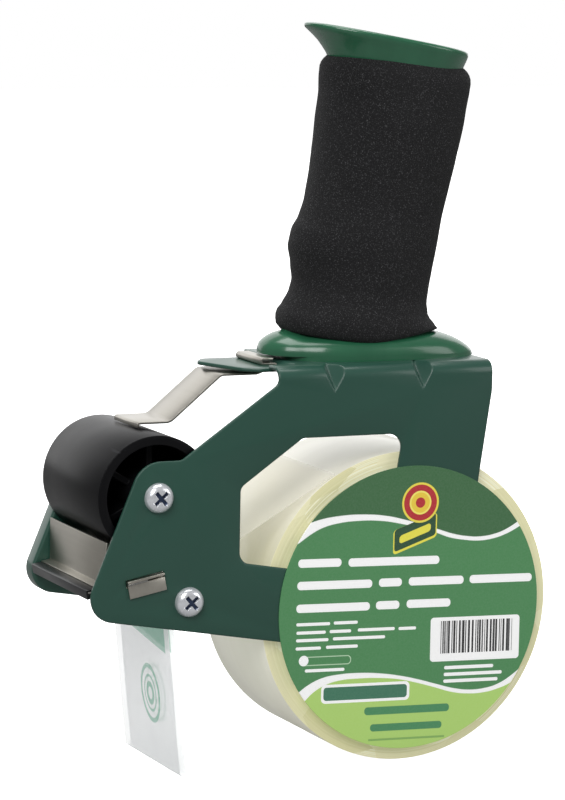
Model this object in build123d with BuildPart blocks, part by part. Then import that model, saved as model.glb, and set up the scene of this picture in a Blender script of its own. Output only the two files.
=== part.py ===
# Hand-held dispenser for packing tape, in millimetres.
#
# Row frame: +Z up, -X to the front where the tape is cut, +Y from the full side plate to the open side.
# The origin is the middle of the underside of the bounding box, where the roll meets the table.
# Lengths below are taken from the hub axis (across = X, up = Z) and from the outer face of the
# side plate (deep = Y); side(), level() and shelf_side() place them in the row frame.
from build123d import *
import os
from math import acos, atan2, cos, hypot, pi, radians, sin, sqrt, tan

os.makedirs("parts", exist_ok=True)

# ---------------------------------------------------------------- driving dimensions
# Tape
TAPE_WIDTH = 48.0
CORE_BORE_R = 38.1
CORE_WALL = 2.4
ROLL_R = 51.0
FILM = 0.5
FOLD_R = 1.0
FOLD_CORNER_R = 0.9
FOLD_BACK = 48.0
LEADER_LEAN = 6.0
TAPE_GAP = 0.35

# Sheet-metal frame
SHEET = 1.2
TOP_Z = 79.8
TOP_EDGE_MARGIN = 3.0
BEND_R = 4.0
BEND_FRONT_X = -47.6
BEND_BACK_X = 28.2
# The tongue is lanced out of the top plate and set down by its own thickness.
TONGUE_BACK_X = -38.4
TONGUE_STEP_X = -39.8
TONGUE_SLIT = 0.6
# Its corners: (across, deep from the middle plane, corner radius)
TONGUE_CORNERS = [(-50.0, -17.6, 4.0), (-55.2, -13.4, 3.0), (-62.2, 6.4, 4.0), (-58.2, 12.6, 3.0)]
TOP_CORNER_R = 7.0
DART_X = (-28.0, 3.3)
DART_HALF_WIDTH = 4.6
DART_DEPTH = 6.0
FLANGE_DEPTH = 6.5
FLANGE_BEND_R = 1.0

# Outline corners: (across, up, corner radius)
CHEEK_TOP = (-94.0, 51.8, 9.5)
CHEEK_TOE = (-113.8, 3.2, 8.0)
SIDE_OUTLINE = [
    (BEND_FRONT_X, TOP_Z, 0.0),
    (BEND_FRONT_X, 74.7, 2.9),
    (-80.6, 51.8, 3.0),
    CHEEK_TOP,
    CHEEK_TOE,
    (-30.0, -11.2, 8.0),
    (-20.0, -22.0, 14.0),
    (22.0, -22.0, 14.0),
    (22.0, 27.0, 20.0),
    (BEND_BACK_X, 70.0, 10.0),
    (BEND_BACK_X, TOP_Z, 0.0),
]
WINDOW_OUTLINE = [
    (-60.3, 18.1, 4.0),
    (-22.0, 11.6, 4.0),
    (-8.1, 29.0, 4.0),
    (-3.4, 57.1, 4.5),
    (-39.0, 57.1, 3.0),
    (-60.3, 42.2, 3.0),
]
CHEEK_OUTLINE = [
    (-79.5, 51.8, 8.0),
    CHEEK_TOP,
    CHEEK_TOE,
    (-66.5, -4.7, 6.0),
    (-68.0, 15.0, 12.0),
]

# Application roller, its axle and the lower guide post
ROLLER_X = -88.4
ROLLER_Z = 40.4
ROLLER_R = 19.4
ROLLER_MARGIN = 1.0
ROLLER_WALL = 3.0
ROLLER_BOSS_R = 8.0
ROLLER_RECESS = 6.0
ROLLER_DISC = 2.0
SPOKES = 6
SPOKE = 2.0
SPOKE_START = 1.0
AXLE_R = 5.0
POST_X = -77.6
POST_Z = 6.6
POST_R = 6.0
WASHER = 0.7
WASHER_R = 8.5
SIDE_PLAY = 0.1
RUNNING_FIT = 0.05

# M5 pan-head cross-recess screws
SCREW_R = 2.45
SCREW_HOLE_R = 2.5
PLATE_HOLE_R = 2.7
HEAD_R = 4.8
HEAD_HEIGHT = 2.8
HEAD_ROUND = 2.7
SCREW_LENGTH = 11.0
TAPPED_DEPTH = 13.0
RECESS = 1.5
RECESS_ARM = 5.4
RECESS_SLOT = 1.3
RECESS_TURN = 42.0

# Blade stack: shelf plate, toothed blade and clamp plate, tilted up to the back
SHELF_X = -108.0
SHELF_Z = 12.6
SHELF_TILT = 11.0
SHELF_DEPTH = 21.5
SHELF_T = 0.8
SHELF_SIDE_GAP = 0.8
BLADE_T = 0.6
BLADE_BACK = 16.0
TOOTH_ROOT = -1.4
TOOTH_TIP = -3.0
TOOTH_PITCH = 2.0
CLAMP_T = 0.8
CLAMP_FRONT = 1.0
UPRIGHT_FRONT = 3.0
UPRIGHT_GAP = 1.6
LUG_FRONT = 9.3
LUG_LENGTH = 12.6
LUG_PROUD = 1.3
LUG_SLOT_GAP = 0.2
TAB_DROP = 3.5
RIVET_S = 6.5
RIVET_INSET = 13.0
RIVET_R = 1.5
RIVET_HEAD_R = 2.8
RIVET_HEAD = 0.8

# Sliding blade guard
GUARD_FRONT = -3.6
GUARD_NOSE = 0.35
GUARD_TOP = -0.1
GUARD_LOWER_JAW = 1.55
GUARD_CLEARANCE = 0.15
GUARD_BACK_GAP = 0.3
GUARD_END_GAP = 0.4

# Leaf spring that keeps the tape on the roller
LEAF_T = 0.7
LEAF_WIDTH = 20.0
LEAF_TIP_X = -88.7
LEAF_LIP = 1.4
LEAF_GAP = 0.35
LEAF_HEEL_X = -77.8
LEAF_KNEE_X = -60.4
LEAF_STEP_X = -48.0
LEAF_DROP = 2.6
LEAF_SEAT_X = -45.0
LEAF_SLOT_X = -41.3
LEAF_SLOT_GAP = 0.4
CURL_FRONT_X = -46.5
CURL_BACK_X = -42.4
CURL_HEIGHT = 1.6

# Handle
HANDLE_BASE_FRONT = -36.6
HANDLE_BASE_BACK = 31.2
HANDLE_BASE_WIDTH = 39.0
HANDLE_BASE_CORNER = 15.0
HANDLE_BASE_HEIGHT = 8.2
HANDLE_BASE_ROUND = 6.0
NOSE_FRONT = -42.6
NOSE_MIDDLE = -30.0
NOSE_WIDTH = 26.0
NOSE_HEIGHT = 7.6
NOSE_ROUND = 5.4
NOSE_RELIEF = 1.4
STEM_X = -9.6
STEM_LEAN = 9.5
STEM_A = 18.5
STEM_B = 13.5
STEM_SINK = 4.4
GRIP_LENGTH = 88.0
CAP_NECK_A = 23.0
CAP_NECK_B = 16.5
CAP_FLARE = 6.3
CAP_RIM = 2.2
CAP_A = 28.0
CAP_B = 19.5
CAP_FORWARD = 6.3
CAP_SCOOP = 1.6
CAP_SCOOP_MARGIN = 3.5
# Foam sections: (height on the stem, front reach, back reach, half depth)
FOAM_SECTIONS = [
    (-9.0, 26.5, 28.0, 19.0),
    (4.0, 26.2, 28.0, 19.2),
    (12.0, 24.2, 23.6, 17.2),
    (24.0, 27.2, 23.4, 17.8),
    (38.0, 24.4, 23.8, 17.6),
    (GRIP_LENGTH - 22.0, 25.2, 25.2, 18.4),
    (GRIP_LENGTH - 4.0, 26.4, 25.8, 18.8),
    (GRIP_LENGTH, 24.6, 24.4, 17.4),
]
HANDLE_SCREW_X = (-24.0, 12.0)
HANDLE_SCREW_R = 1.95
HANDLE_SCREW_HOLE_R = 2.0
HANDLE_PLATE_HOLE_R = 2.3
HANDLE_HEAD_R = 4.0
HANDLE_HEAD = 2.4
HANDLE_HEAD_ROUND = 0.95
HANDLE_WASHER_R = 5.5
HANDLE_WASHER = 0.8
HANDLE_SCREW_LENGTH = 9.0
HANDLE_BOSS_DEPTH = 7.6

# Hub and brake
STUD_R = 5.0
STUD_COLLAR_R = 11.0
STUD_COLLAR = 0.9
SLEEVE_R = 7.0
HUB_BOSS_R = 10.5
HUB_GAP = 0.2
HUB_WALL = 2.2
HUB_DISC = 2.2
HUB_DISC_Y = 11.0
HUB_FLANGE_R = 40.5
HUB_FLANGE = 0.8
HUB_LIGHTENING_R = 7.0
HUB_LIGHTENING_AT = 23.5
HUB_HOLES = 5
BOSS_LENGTH = 27.4
BRAKE_WASHER = 1.2
BRAKE_WASHER_R = 13.0
SPRING_WIRE_R = 0.8
SPRING_MEAN_R = 8.4
SPRING_TURNS = 4.0
SPRING_HEIGHT = 11.6
PRESSURE_WASHER = 1.2
PRESSURE_WASHER_R = 12.0
NUT_HEIGHT = 8.6
NUT_R = 12.5
NUT_GRIPS = 8
NUT_GRIP_R = 2.6
NUT_GRIP_DEPTH = 1.7
NUT_COLLAR_R = 9.0
NUT_COLLAR = 2.0
STUD_BEYOND_NUT = 1.5

# Round label on the side plate
LABEL_R = 46.5
LABEL_T = 0.4

# ---------------------------------------------------------------- derived places
ROLLER_WIDTH = TAPE_WIDTH + 2 * ROLLER_MARGIN
ROLLER_Y = SHEET + WASHER + SIDE_PLAY
FAR_Y = ROLLER_Y + ROLLER_WIDTH + SIDE_PLAY + WASHER
FAR_OUT_Y = FAR_Y + SHEET
MID_Y = (SHEET + FAR_Y) / 2

HUB_START_Y = SHEET + STUD_COLLAR + SIDE_PLAY
TAPE_Y = HUB_START_Y + HUB_FLANGE + SIDE_PLAY
CORE_R = CORE_BORE_R + CORE_WALL
BOSS_END_Y = HUB_START_Y + BOSS_LENGTH
BRAKE_Y = BOSS_END_Y + SIDE_PLAY
SPRING_Y = BRAKE_Y + BRAKE_WASHER
PRESSURE_Y = SPRING_Y + SPRING_HEIGHT
NUT_Y = PRESSURE_Y + PRESSURE_WASHER
STUD_END_Y = NUT_Y + NUT_HEIGHT + STUD_BEYOND_NUT

TOP_UNDER_Z = TOP_Z - SHEET
TONGUE_NEAR_Y = MID_Y + TONGUE_CORNERS[0][1]
TONGUE_FAR_Y = MID_Y + TONGUE_CORNERS[-1][1]
TONGUE_FRONT_X = min(across for across, deep, radius in TONGUE_CORNERS)
ROLLER_TOP_Z = ROLLER_Z + ROLLER_R
BASE_TOP_Z = TOP_Z + HANDLE_BASE_HEIGHT

TILT = radians(SHELF_TILT)
BLADE_TOP_T = -SHELF_T
CLAMP_TOP_T = BLADE_TOP_T - BLADE_T
CLAMP_UNDER_T = CLAMP_TOP_T - CLAMP_T
LUG_BACK = LUG_FRONT + LUG_LENGTH
UPRIGHT_X = SHELF_X + UPRIGHT_FRONT * cos(TILT)
UPRIGHT_REACH = abs(UPRIGHT_X + SHELF_T - ROLLER_X)
UPRIGHT_TOP_Z = ROLLER_Z - sqrt((ROLLER_R + UPRIGHT_GAP) ** 2 - UPRIGHT_REACH**2)
GUARD_TIP_X = SHELF_X + GUARD_FRONT * cos(TILT) - GUARD_TOP * sin(TILT)

# The hub axis stands where it centres the bounding box on the row's Z axis.
HUB_X = -(GUARD_TIP_X + ROLL_R) / 2
HUB_Z = ROLL_R
PLATE_Y = -(FAR_Y + FLANGE_DEPTH - HEAD_HEIGHT) / 2


def side(deep):
    """Upright plane at a depth behind the side plate's outer face; local axes are across and up."""
    return Plane((HUB_X, PLATE_Y + deep, HUB_Z), x_dir=(1, 0, 0), z_dir=(0, -1, 0))


def level(up):
    """Horizontal plane at a height over the hub axis; local axes are across and deep."""
    return Plane((HUB_X, PLATE_Y, HUB_Z + up), x_dir=(1, 0, 0), z_dir=(0, 0, 1))


def shelf_side(deep):
    """Upright plane whose local axes run back along the tilted shelf and square to it."""
    origin = (HUB_X + SHELF_X, PLATE_Y + deep, HUB_Z + SHELF_Z)
    return Plane(origin, x_dir=(cos(TILT), 0, sin(TILT)), z_dir=(0, -1, 0))


def shelf_top(lift):
    """Plane parallel to the shelf; local axes run back along it and deep."""
    origin = (HUB_X + SHELF_X, PLATE_Y, HUB_Z + SHELF_Z)
    return Plane(origin, x_dir=(cos(TILT), 0, sin(TILT)), z_dir=(-sin(TILT), 0, cos(TILT))).offset(lift)


def stem(height):
    """Plane square to the leaning handle; local axes are across and deep."""
    lean = radians(STEM_LEAN)
    foot = Vector(HUB_X + STEM_X, PLATE_Y + MID_Y, HUB_Z + BASE_TOP_Z)
    return Plane(foot, x_dir=(cos(lean), 0, -sin(lean)), z_dir=(sin(lean), 0, cos(lean))).offset(height)


def rounded_outline(corners):
    """Draw a closed outline through corners given as (across, up, corner radius)."""
    points = [(across, up) for across, up, radius in corners]
    FilletPolyline(*points, radius=[radius for across, up, radius in corners], close=True)


def ring(deep, length, outer, bore=0.0, at=(0.0, 0.0)):
    """Add a round disc or ring along Y to the part being built."""
    with BuildSketch(side(deep)) as section:
        with Locations(at):
            Circle(outer)
            if bore > 0:
                Circle(bore, mode=Mode.SUBTRACT)
    extrude(section.sketch, amount=-length)


def drill(deep, length, radius, at=(0.0, 0.0)):
    """Cut a round hole along Y out of the part being built."""
    with BuildSketch(side(deep)) as section:
        with Locations(at):
            Circle(radius)
    extrude(section.sketch, amount=-length, mode=Mode.SUBTRACT)


def shelf_plate(first, last, start_deep, end_deep, upper, lower):
    """Add a flat plate parallel to the shelf, between two distances along it."""
    with BuildSketch(shelf_side(start_deep)) as section:
        with BuildLine():
            Polyline((first, lower), (last, lower), (last, upper), (first, upper), close=True)
        make_face()
    extrude(section.sketch, amount=-(end_deep - start_deep))


def lug_slot(deep):
    """Cut the slot for the blade stack's lugs through a plate whose near face is at a depth."""
    low, high = CLAMP_UNDER_T - LUG_SLOT_GAP, LUG_SLOT_GAP
    front, back = LUG_FRONT - LUG_SLOT_GAP, LUG_BACK + LUG_SLOT_GAP
    with BuildSketch(shelf_side(deep)) as section:
        with BuildLine():
            Polyline((front, low), (back, low), (back, high), (front, high), close=True)
        make_face()
    extrude(section.sketch, amount=-SHEET, mode=Mode.SUBTRACT)


AXLE_AT = (ROLLER_X, ROLLER_Z)
POST_AT = (POST_X, POST_Z)

# ---------------------------------------------------------------- side frame
# Darts are V-shaped dents pressed across the bend; each shows a ridge inside the corner.
DART_SLOPE = atan2(DART_HALF_WIDTH, DART_DEPTH)


def dart_prism(across, growth):
    """Add a V prism across the bend at 45 degrees, grown outwards by a sheet thickness or none."""
    half_width = DART_HALF_WIDTH + growth / cos(DART_SLOPE)
    depth = DART_DEPTH + growth / sin(DART_SLOPE)
    corner = Plane((HUB_X + across, PLATE_Y, HUB_Z + TOP_Z), x_dir=(1, 0, 0), z_dir=(0, 1, 1))
    with BuildSketch(corner) as section:
        with BuildLine():
            Polyline((-half_width, 0), (half_width, 0), (0, depth), close=True)
        make_face()
    extrude(section.sketch, amount=2 * depth, both=True)


with BuildPart() as dart_cuts:
    for across in DART_X:
        dart_prism(across, 0.0)

with BuildPart() as dart_ridge_prisms:
    for across in DART_X:
        dart_prism(across, SHEET)

with BuildPart() as dart_ridges:
    with BuildSketch(side(0)):
        with BuildLine():
            Polyline((BEND_FRONT_X, TOP_Z), (BEND_BACK_X, TOP_Z), (BEND_BACK_X, 0),
                     (BEND_FRONT_X, 0), close=True)
        make_face()
    extrude(amount=-TOP_Z / 2)
    bend_line = dart_ridges.edges().sort_by_distance((HUB_X, PLATE_Y, HUB_Z + TOP_Z))[0]
    fillet(bend_line, BEND_R)
    add(dart_ridge_prisms.part, mode=Mode.INTERSECT)

with BuildPart() as tongue:
    with BuildSketch(side(TONGUE_NEAR_Y)):
        plate_end = TONGUE_BACK_X + 2 * SHEET
        with BuildLine():
            Polyline((TONGUE_FRONT_X, TOP_UNDER_Z), (TONGUE_STEP_X, TOP_UNDER_Z), (TONGUE_BACK_X, TOP_Z),
                     (plate_end, TOP_Z), (plate_end, TOP_UNDER_Z), (TONGUE_BACK_X + SHEET / 2, TOP_UNDER_Z),
                     (TONGUE_STEP_X + SHEET / 2, TOP_UNDER_Z - SHEET),
                     (TONGUE_FRONT_X, TOP_UNDER_Z - SHEET), close=True)
        make_face()
    extrude(amount=-(TONGUE_FAR_Y - TONGUE_NEAR_Y))
    with BuildSketch(level(TOP_UNDER_Z - SHEET)):
        with BuildLine():
            tongue_front = [(across, MID_Y + deep, radius) for across, deep, radius in TONGUE_CORNERS]
            rounded_outline([(plate_end, TONGUE_NEAR_Y, 0.0), *tongue_front,
                             (plate_end, TONGUE_FAR_Y, 0.0)])
        make_face()
    extrude(amount=2 * SHEET, mode=Mode.INTERSECT)

with BuildPart() as side_frame:
    with BuildSketch(side(0)):
        with BuildLine():
            rounded_outline(SIDE_OUTLINE)
        make_face()
    extrude(amount=-SHEET)
    # Top plate, slit along the tongue's near side and cut back beyond its far side
    with BuildSketch(level(TOP_UNDER_Z)):
        top_back_y = FAR_Y - TOP_EDGE_MARGIN
        with BuildLine():
            Polyline((BEND_FRONT_X, 0), (BEND_BACK_X, 0), (BEND_BACK_X, top_back_y),
                     (BEND_FRONT_X, top_back_y), close=True)
        make_face()
        slit_near_y = TONGUE_NEAR_Y - TONGUE_SLIT
        with BuildLine():
            Polyline((BEND_FRONT_X, slit_near_y), (TONGUE_BACK_X, slit_near_y),
                     (TONGUE_BACK_X, top_back_y), (BEND_FRONT_X, top_back_y), close=True)
        make_face(mode=Mode.SUBTRACT)
    extrude(amount=SHEET)
    outer_bend = side_frame.edges().sort_by_distance((HUB_X, PLATE_Y, HUB_Z + TOP_Z))[0]
    fillet(outer_bend, BEND_R)
    inner_bend = side_frame.edges().sort_by_distance((HUB_X, PLATE_Y + SHEET, HUB_Z + TOP_UNDER_Z))[0]
    fillet(inner_bend, BEND_R - SHEET)
    back_corner = side_frame.edges().sort_by_distance(
        (HUB_X + BEND_BACK_X, PLATE_Y + top_back_y, HUB_Z + TOP_Z))
    fillet(back_corner.filter_by(Axis.Z)[0], TOP_CORNER_R)
    add(tongue.part)
    add(dart_ridges.part)
    add(dart_cuts.part, mode=Mode.SUBTRACT)
    with BuildSketch(side(0)):
        with BuildLine():
            rounded_outline(WINDOW_OUTLINE)
        make_face()
    extrude(amount=-SHEET, mode=Mode.SUBTRACT)
    drill(0, SHEET, PLATE_HOLE_R, AXLE_AT)
    drill(0, SHEET, PLATE_HOLE_R, POST_AT)
    drill(0, SHEET, STUD_R)
    lug_slot(0)
    # Slot that the leaf spring is hooked through, and the two handle screw holes
    with BuildSketch(level(TOP_UNDER_Z - SHEET)):
        with Locations((LEAF_SLOT_X, MID_Y)):
            Rectangle(LEAF_T + 2 * LEAF_SLOT_GAP, LEAF_WIDTH + 2 * LEAF_SLOT_GAP)
        with Locations(*[(across, MID_Y) for across in HANDLE_SCREW_X]):
            Circle(HANDLE_PLATE_HOLE_R)
    extrude(amount=2 * SHEET, mode=Mode.SUBTRACT)

side_frame.part.label = "side_frame"
export_step(side_frame.part, "parts/side_frame.step")

# ---------------------------------------------------------------- far cheek
with BuildPart() as far_cheek:
    with BuildSketch(side(FAR_Y)):
        with BuildLine():
            rounded_outline(CHEEK_OUTLINE)
        make_face()
    extrude(amount=-SHEET)
    # Stiffening flange round the front edge and the toe
    with BuildSketch(side(FAR_Y)):
        with BuildLine():
            rounded_outline(CHEEK_OUTLINE)
        make_face()
        offset(amount=-SHEET, mode=Mode.SUBTRACT)
        with BuildLine():
            front = CHEEK_TOE[0] * 2
            toe_back = CHEEK_TOE[0] + 2 * CHEEK_TOE[2]
            boss_back = CHEEK_TOP[0] + SHEET
            Polyline((front, -ROLL_R), (toe_back, -ROLL_R), (toe_back, CHEEK_TOE[1] + CHEEK_TOE[2]),
                     (boss_back, ROLLER_Z), (boss_back, TOP_Z), (front, TOP_Z), close=True)
        make_face(mode=Mode.INTERSECT)
    extrude(amount=-FLANGE_DEPTH)
    drill(FAR_Y, SHEET, PLATE_HOLE_R, AXLE_AT)
    drill(FAR_Y, SHEET, PLATE_HOLE_R, POST_AT)
    lug_slot(FAR_Y)
    inner_face = far_cheek.faces().filter_by(Axis.Y).sort_by(Axis.Y)[0]
    flange_edges = inner_face.outer_wire().edges().filter_by_position(
        Axis.X, HUB_X + 2 * CHEEK_TOE[0], HUB_X + CHEEK_TOE[0] + 2 * CHEEK_TOE[2])
    fillet(flange_edges, FLANGE_BEND_R)

far_cheek.part.label = "far_cheek"
export_step(far_cheek.part, "parts/far_cheek.step")

# ---------------------------------------------------------------- roller, axle and guide post
with BuildPart() as application_roller:
    ring(ROLLER_Y, ROLLER_WIDTH, ROLLER_R, ROLLER_R - ROLLER_WALL, AXLE_AT)
    ring(ROLLER_Y, ROLLER_WIDTH, ROLLER_BOSS_R, AXLE_R + RUNNING_FIT, AXLE_AT)
    disc_y = ROLLER_Y + (ROLLER_WIDTH - ROLLER_DISC) / 2
    ring(disc_y, ROLLER_DISC, ROLLER_R - ROLLER_WALL / 2, AXLE_R + RUNNING_FIT, AXLE_AT)
    spoke_span = ROLLER_R - ROLLER_WALL / 2 - (AXLE_R + RUNNING_FIT + SPOKE_START)
    spoke_at = ROLLER_R - ROLLER_WALL / 2 - spoke_span / 2
    with BuildSketch(side(ROLLER_Y + ROLLER_RECESS)):
        with Locations(AXLE_AT):
            with PolarLocations(spoke_at, SPOKES, start_angle=90):
                Rectangle(spoke_span, SPOKE)
    extrude(amount=-(ROLLER_WIDTH - 2 * ROLLER_RECESS))

application_roller.part.label = "application_roller"
export_step(application_roller.part, "parts/application_roller.step")


def cross_post(radius, at):
    """Add a round bar between the two plates, tapped at both ends, to the part being built."""
    ring(SHEET, FAR_Y - SHEET, radius, 0.0, at)
    drill(SHEET, TAPPED_DEPTH, SCREW_HOLE_R, at)
    drill(FAR_Y - TAPPED_DEPTH, TAPPED_DEPTH, SCREW_HOLE_R, at)


with BuildPart() as roller_axle:
    cross_post(AXLE_R, AXLE_AT)

roller_axle.part.label = "roller_axle"
export_step(roller_axle.part, "parts/roller_axle.step")

with BuildPart() as guide_post:
    cross_post(POST_R, POST_AT)

guide_post.part.label = "guide_post"
export_step(guide_post.part, "parts/guide_post.step")

with BuildPart() as roller_washers:
    ring(SHEET, WASHER, WASHER_R, AXLE_R + RUNNING_FIT, AXLE_AT)
    ring(FAR_Y - WASHER, WASHER, WASHER_R, AXLE_R + RUNNING_FIT, AXLE_AT)

roller_washers.part.label = "roller_washers"
export_step(roller_washers.part, "parts/roller_washers.step")


def cross_recess(plane, at):
    """Cut a cross recess into a screw head, downwards from a plane, in the part being built."""
    with BuildSketch(plane) as section:
        with Locations(at):
            Rectangle(RECESS_ARM, RECESS_SLOT, rotation=RECESS_TURN)
            Rectangle(RECESS_SLOT, RECESS_ARM, rotation=RECESS_TURN)
    extrude(section.sketch, amount=-RECESS, mode=Mode.SUBTRACT)


with BuildPart() as cheek_screws:
    for at in (AXLE_AT, POST_AT):
        ring(0, SCREW_LENGTH, SCREW_R, 0.0, at)
        ring(FAR_OUT_Y - SCREW_LENGTH, SCREW_LENGTH, SCREW_R, 0.0, at)
        ring(-HEAD_HEIGHT, HEAD_HEIGHT, HEAD_R, 0.0, at)
        ring(FAR_OUT_Y, HEAD_HEIGHT, HEAD_R, 0.0, at)
    head_rims = cheek_screws.edges().filter_by(GeomType.CIRCLE)
    fillet(head_rims.group_by(Axis.Y)[0] + head_rims.group_by(Axis.Y)[-1], HEAD_ROUND)
    for at in (AXLE_AT, POST_AT):
        cross_recess(side(-HEAD_HEIGHT), at)
        # The far heads face the other way, so their plane is turned about X and mirrored upwards.
        cross_recess(Plane((HUB_X, PLATE_Y + FAR_OUT_Y + HEAD_HEIGHT, HUB_Z), x_dir=(1, 0, 0),
                           z_dir=(0, 1, 0)), (at[0], -at[1]))

cheek_screws.part.label = "cheek_screws"
export_step(cheek_screws.part, "parts/cheek_screws.step")

# ---------------------------------------------------------------- blade stack and guard
SHELF_START_Y = SHEET + SHELF_SIDE_GAP
SHELF_END_Y = FAR_Y - SHELF_SIDE_GAP
LUG_START_Y = -LUG_PROUD
LUG_END_Y = FAR_OUT_Y + LUG_PROUD

with BuildPart() as blade_rivets:
    for deep in (SHELF_START_Y + RIVET_INSET, SHELF_END_Y - RIVET_INSET):
        with BuildSketch(shelf_top(CLAMP_UNDER_T)) as shank:
            with Locations((RIVET_S, deep)):
                Circle(RIVET_R)
        extrude(shank.sketch, amount=-CLAMP_UNDER_T)
        for lift in (0, CLAMP_UNDER_T - RIVET_HEAD):
            with BuildSketch(shelf_top(lift)) as head:
                with Locations((RIVET_S, deep)):
                    Circle(RIVET_HEAD_R)
            extrude(head.sketch, amount=RIVET_HEAD)

blade_rivets.part.label = "blade_rivets"
export_step(blade_rivets.part, "parts/blade_rivets.step")

with BuildPart() as blade_bracket:
    shelf_plate(0, SHELF_DEPTH, SHELF_START_Y, SHELF_END_Y, 0, -SHELF_T)
    shelf_plate(LUG_FRONT, LUG_BACK, LUG_START_Y, LUG_END_Y, 0, -SHELF_T)
    with BuildSketch(side(SHELF_START_Y)):
        upright_foot = SHELF_Z + UPRIGHT_FRONT * sin(TILT) - SHELF_T / 2
        with BuildLine():
            Polyline((UPRIGHT_X, upright_foot), (UPRIGHT_X + SHELF_T, upright_foot),
                     (UPRIGHT_X + SHELF_T, UPRIGHT_TOP_Z), (UPRIGHT_X, UPRIGHT_TOP_Z), close=True)
        make_face()
    extrude(amount=-(SHELF_END_Y - SHELF_START_Y))
    add(blade_rivets.part, mode=Mode.SUBTRACT)

blade_bracket.part.label = "blade_bracket"
export_step(blade_bracket.part, "parts/blade_bracket.step")

with BuildPart() as cutting_blade:
    teeth = int((SHELF_END_Y - SHELF_START_Y) / TOOTH_PITCH)
    teeth_start = (SHELF_START_Y + SHELF_END_Y - teeth * TOOTH_PITCH) / 2
    tooth_line = [(TOOTH_ROOT, teeth_start)]
    for tooth in range(teeth):
        root = teeth_start + tooth * TOOTH_PITCH
        tooth_line += [(TOOTH_TIP, root + TOOTH_PITCH / 2), (TOOTH_ROOT, root + TOOTH_PITCH)]
    with BuildSketch(shelf_top(CLAMP_TOP_T)):
        with BuildLine():
            Polyline(*tooth_line, (BLADE_BACK, teeth_start + teeth * TOOTH_PITCH),
                     (BLADE_BACK, teeth_start), close=True)
        make_face()
    extrude(amount=BLADE_T)
    shelf_plate(LUG_FRONT, BLADE_BACK, LUG_START_Y, LUG_END_Y, BLADE_TOP_T, CLAMP_TOP_T)
    add(blade_rivets.part, mode=Mode.SUBTRACT)

cutting_blade.part.label = "cutting_blade"
export_step(cutting_blade.part, "parts/cutting_blade.step")

# The clamp plate's lugs pass both plates and are bent down flat on their outer faces.
with BuildPart() as blade_clamp:
    shelf_plate(CLAMP_FRONT, LUG_BACK, SHELF_START_Y, SHELF_END_Y, CLAMP_TOP_T, CLAMP_UNDER_T)
    shelf_plate(LUG_FRONT, LUG_BACK, -CLAMP_T, FAR_OUT_Y + CLAMP_T, CLAMP_TOP_T, CLAMP_UNDER_T)
    shelf_plate(LUG_FRONT, LUG_BACK, -CLAMP_T, 0, CLAMP_TOP_T, CLAMP_UNDER_T - TAB_DROP)
    shelf_plate(LUG_FRONT, LUG_BACK, FAR_OUT_Y, FAR_OUT_Y + CLAMP_T, CLAMP_TOP_T, CLAMP_UNDER_T - TAB_DROP)
    add(blade_rivets.part, mode=Mode.SUBTRACT)

blade_clamp.part.label = "blade_clamp"
export_step(blade_clamp.part, "parts/blade_clamp.step")

with BuildPart() as blade_guard:
    slot_roof = BLADE_TOP_T + GUARD_CLEARANCE
    slot_floor = CLAMP_TOP_T - GUARD_CLEARANCE
    guard_low = slot_floor - GUARD_LOWER_JAW
    slot_end = GUARD_FRONT + GUARD_NOSE
    with BuildSketch(shelf_side(SHELF_START_Y + GUARD_END_GAP)):
        with BuildLine():
            Polyline((GUARD_FRONT, guard_low), (CLAMP_FRONT - GUARD_BACK_GAP, guard_low),
                     (CLAMP_FRONT - GUARD_BACK_GAP, slot_floor), (slot_end, slot_floor),
                     (slot_end, slot_roof), (-GUARD_BACK_GAP, slot_roof),
                     (-GUARD_BACK_GAP, GUARD_TOP), (GUARD_FRONT, GUARD_TOP), close=True)
        make_face()
    extrude(amount=-(SHELF_END_Y - SHELF_START_Y - 2 * GUARD_END_GAP))

blade_guard.part.label = "blade_guard"
export_step(blade_guard.part, "parts/blade_guard.step")

# ---------------------------------------------------------------- leaf spring
# The strip lies under the top plate, comes up through its slot and curls forward and back on top.
with BuildPart() as retainer_spring:
    heel_z = ROLLER_TOP_Z + LEAF_GAP + LEAF_LIP
    under_z = TOP_UNDER_Z - SHEET - LEAF_T / 2
    curl_z = TOP_UNDER_Z + LEAF_T / 2
    leaf_line = [
        (LEAF_TIP_X, ROLLER_TOP_Z + LEAF_GAP, 0.0),
        (LEAF_TIP_X, heel_z, 0.5),
        (LEAF_HEEL_X, heel_z, 4.0),
        (LEAF_KNEE_X, TOP_UNDER_Z - LEAF_DROP, 3.0),
        (LEAF_STEP_X, TOP_UNDER_Z - LEAF_DROP, 1.5),
        (LEAF_SEAT_X, under_z, 1.0),
        (LEAF_SLOT_X, under_z, 0.5),
        (LEAF_SLOT_X, curl_z, 0.5),
        (CURL_FRONT_X, curl_z, 0.7),
        (CURL_FRONT_X, curl_z + CURL_HEIGHT, 0.7),
        (CURL_BACK_X, curl_z + CURL_HEIGHT, 0.0),
    ]
    with BuildSketch(side(MID_Y - LEAF_WIDTH / 2)):
        with BuildLine():
            FilletPolyline(*[(across, up) for across, up, radius in leaf_line],
                           radius=[radius for across, up, radius in leaf_line[1:-1]])
        trace(line_width=LEAF_T)
    extrude(amount=-LEAF_WIDTH)

retainer_spring.part.label = "retainer_spring"
export_step(retainer_spring.part, "parts/retainer_spring.step")

# ---------------------------------------------------------------- handle
# The base's nose stands clear of the leaf spring's curl.
with BuildPart() as base_nose:
    with BuildSketch(level(TOP_Z + NOSE_RELIEF)):
        with Locations((NOSE_MIDDLE, MID_Y)):
            Ellipse(NOSE_MIDDLE - NOSE_FRONT, NOSE_WIDTH / 2)
    extrude(amount=NOSE_HEIGHT - NOSE_RELIEF)
    nose_top = base_nose.faces().sort_by(Axis.Z)[-1]
    fillet(nose_top.edges(), NOSE_ROUND)

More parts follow.
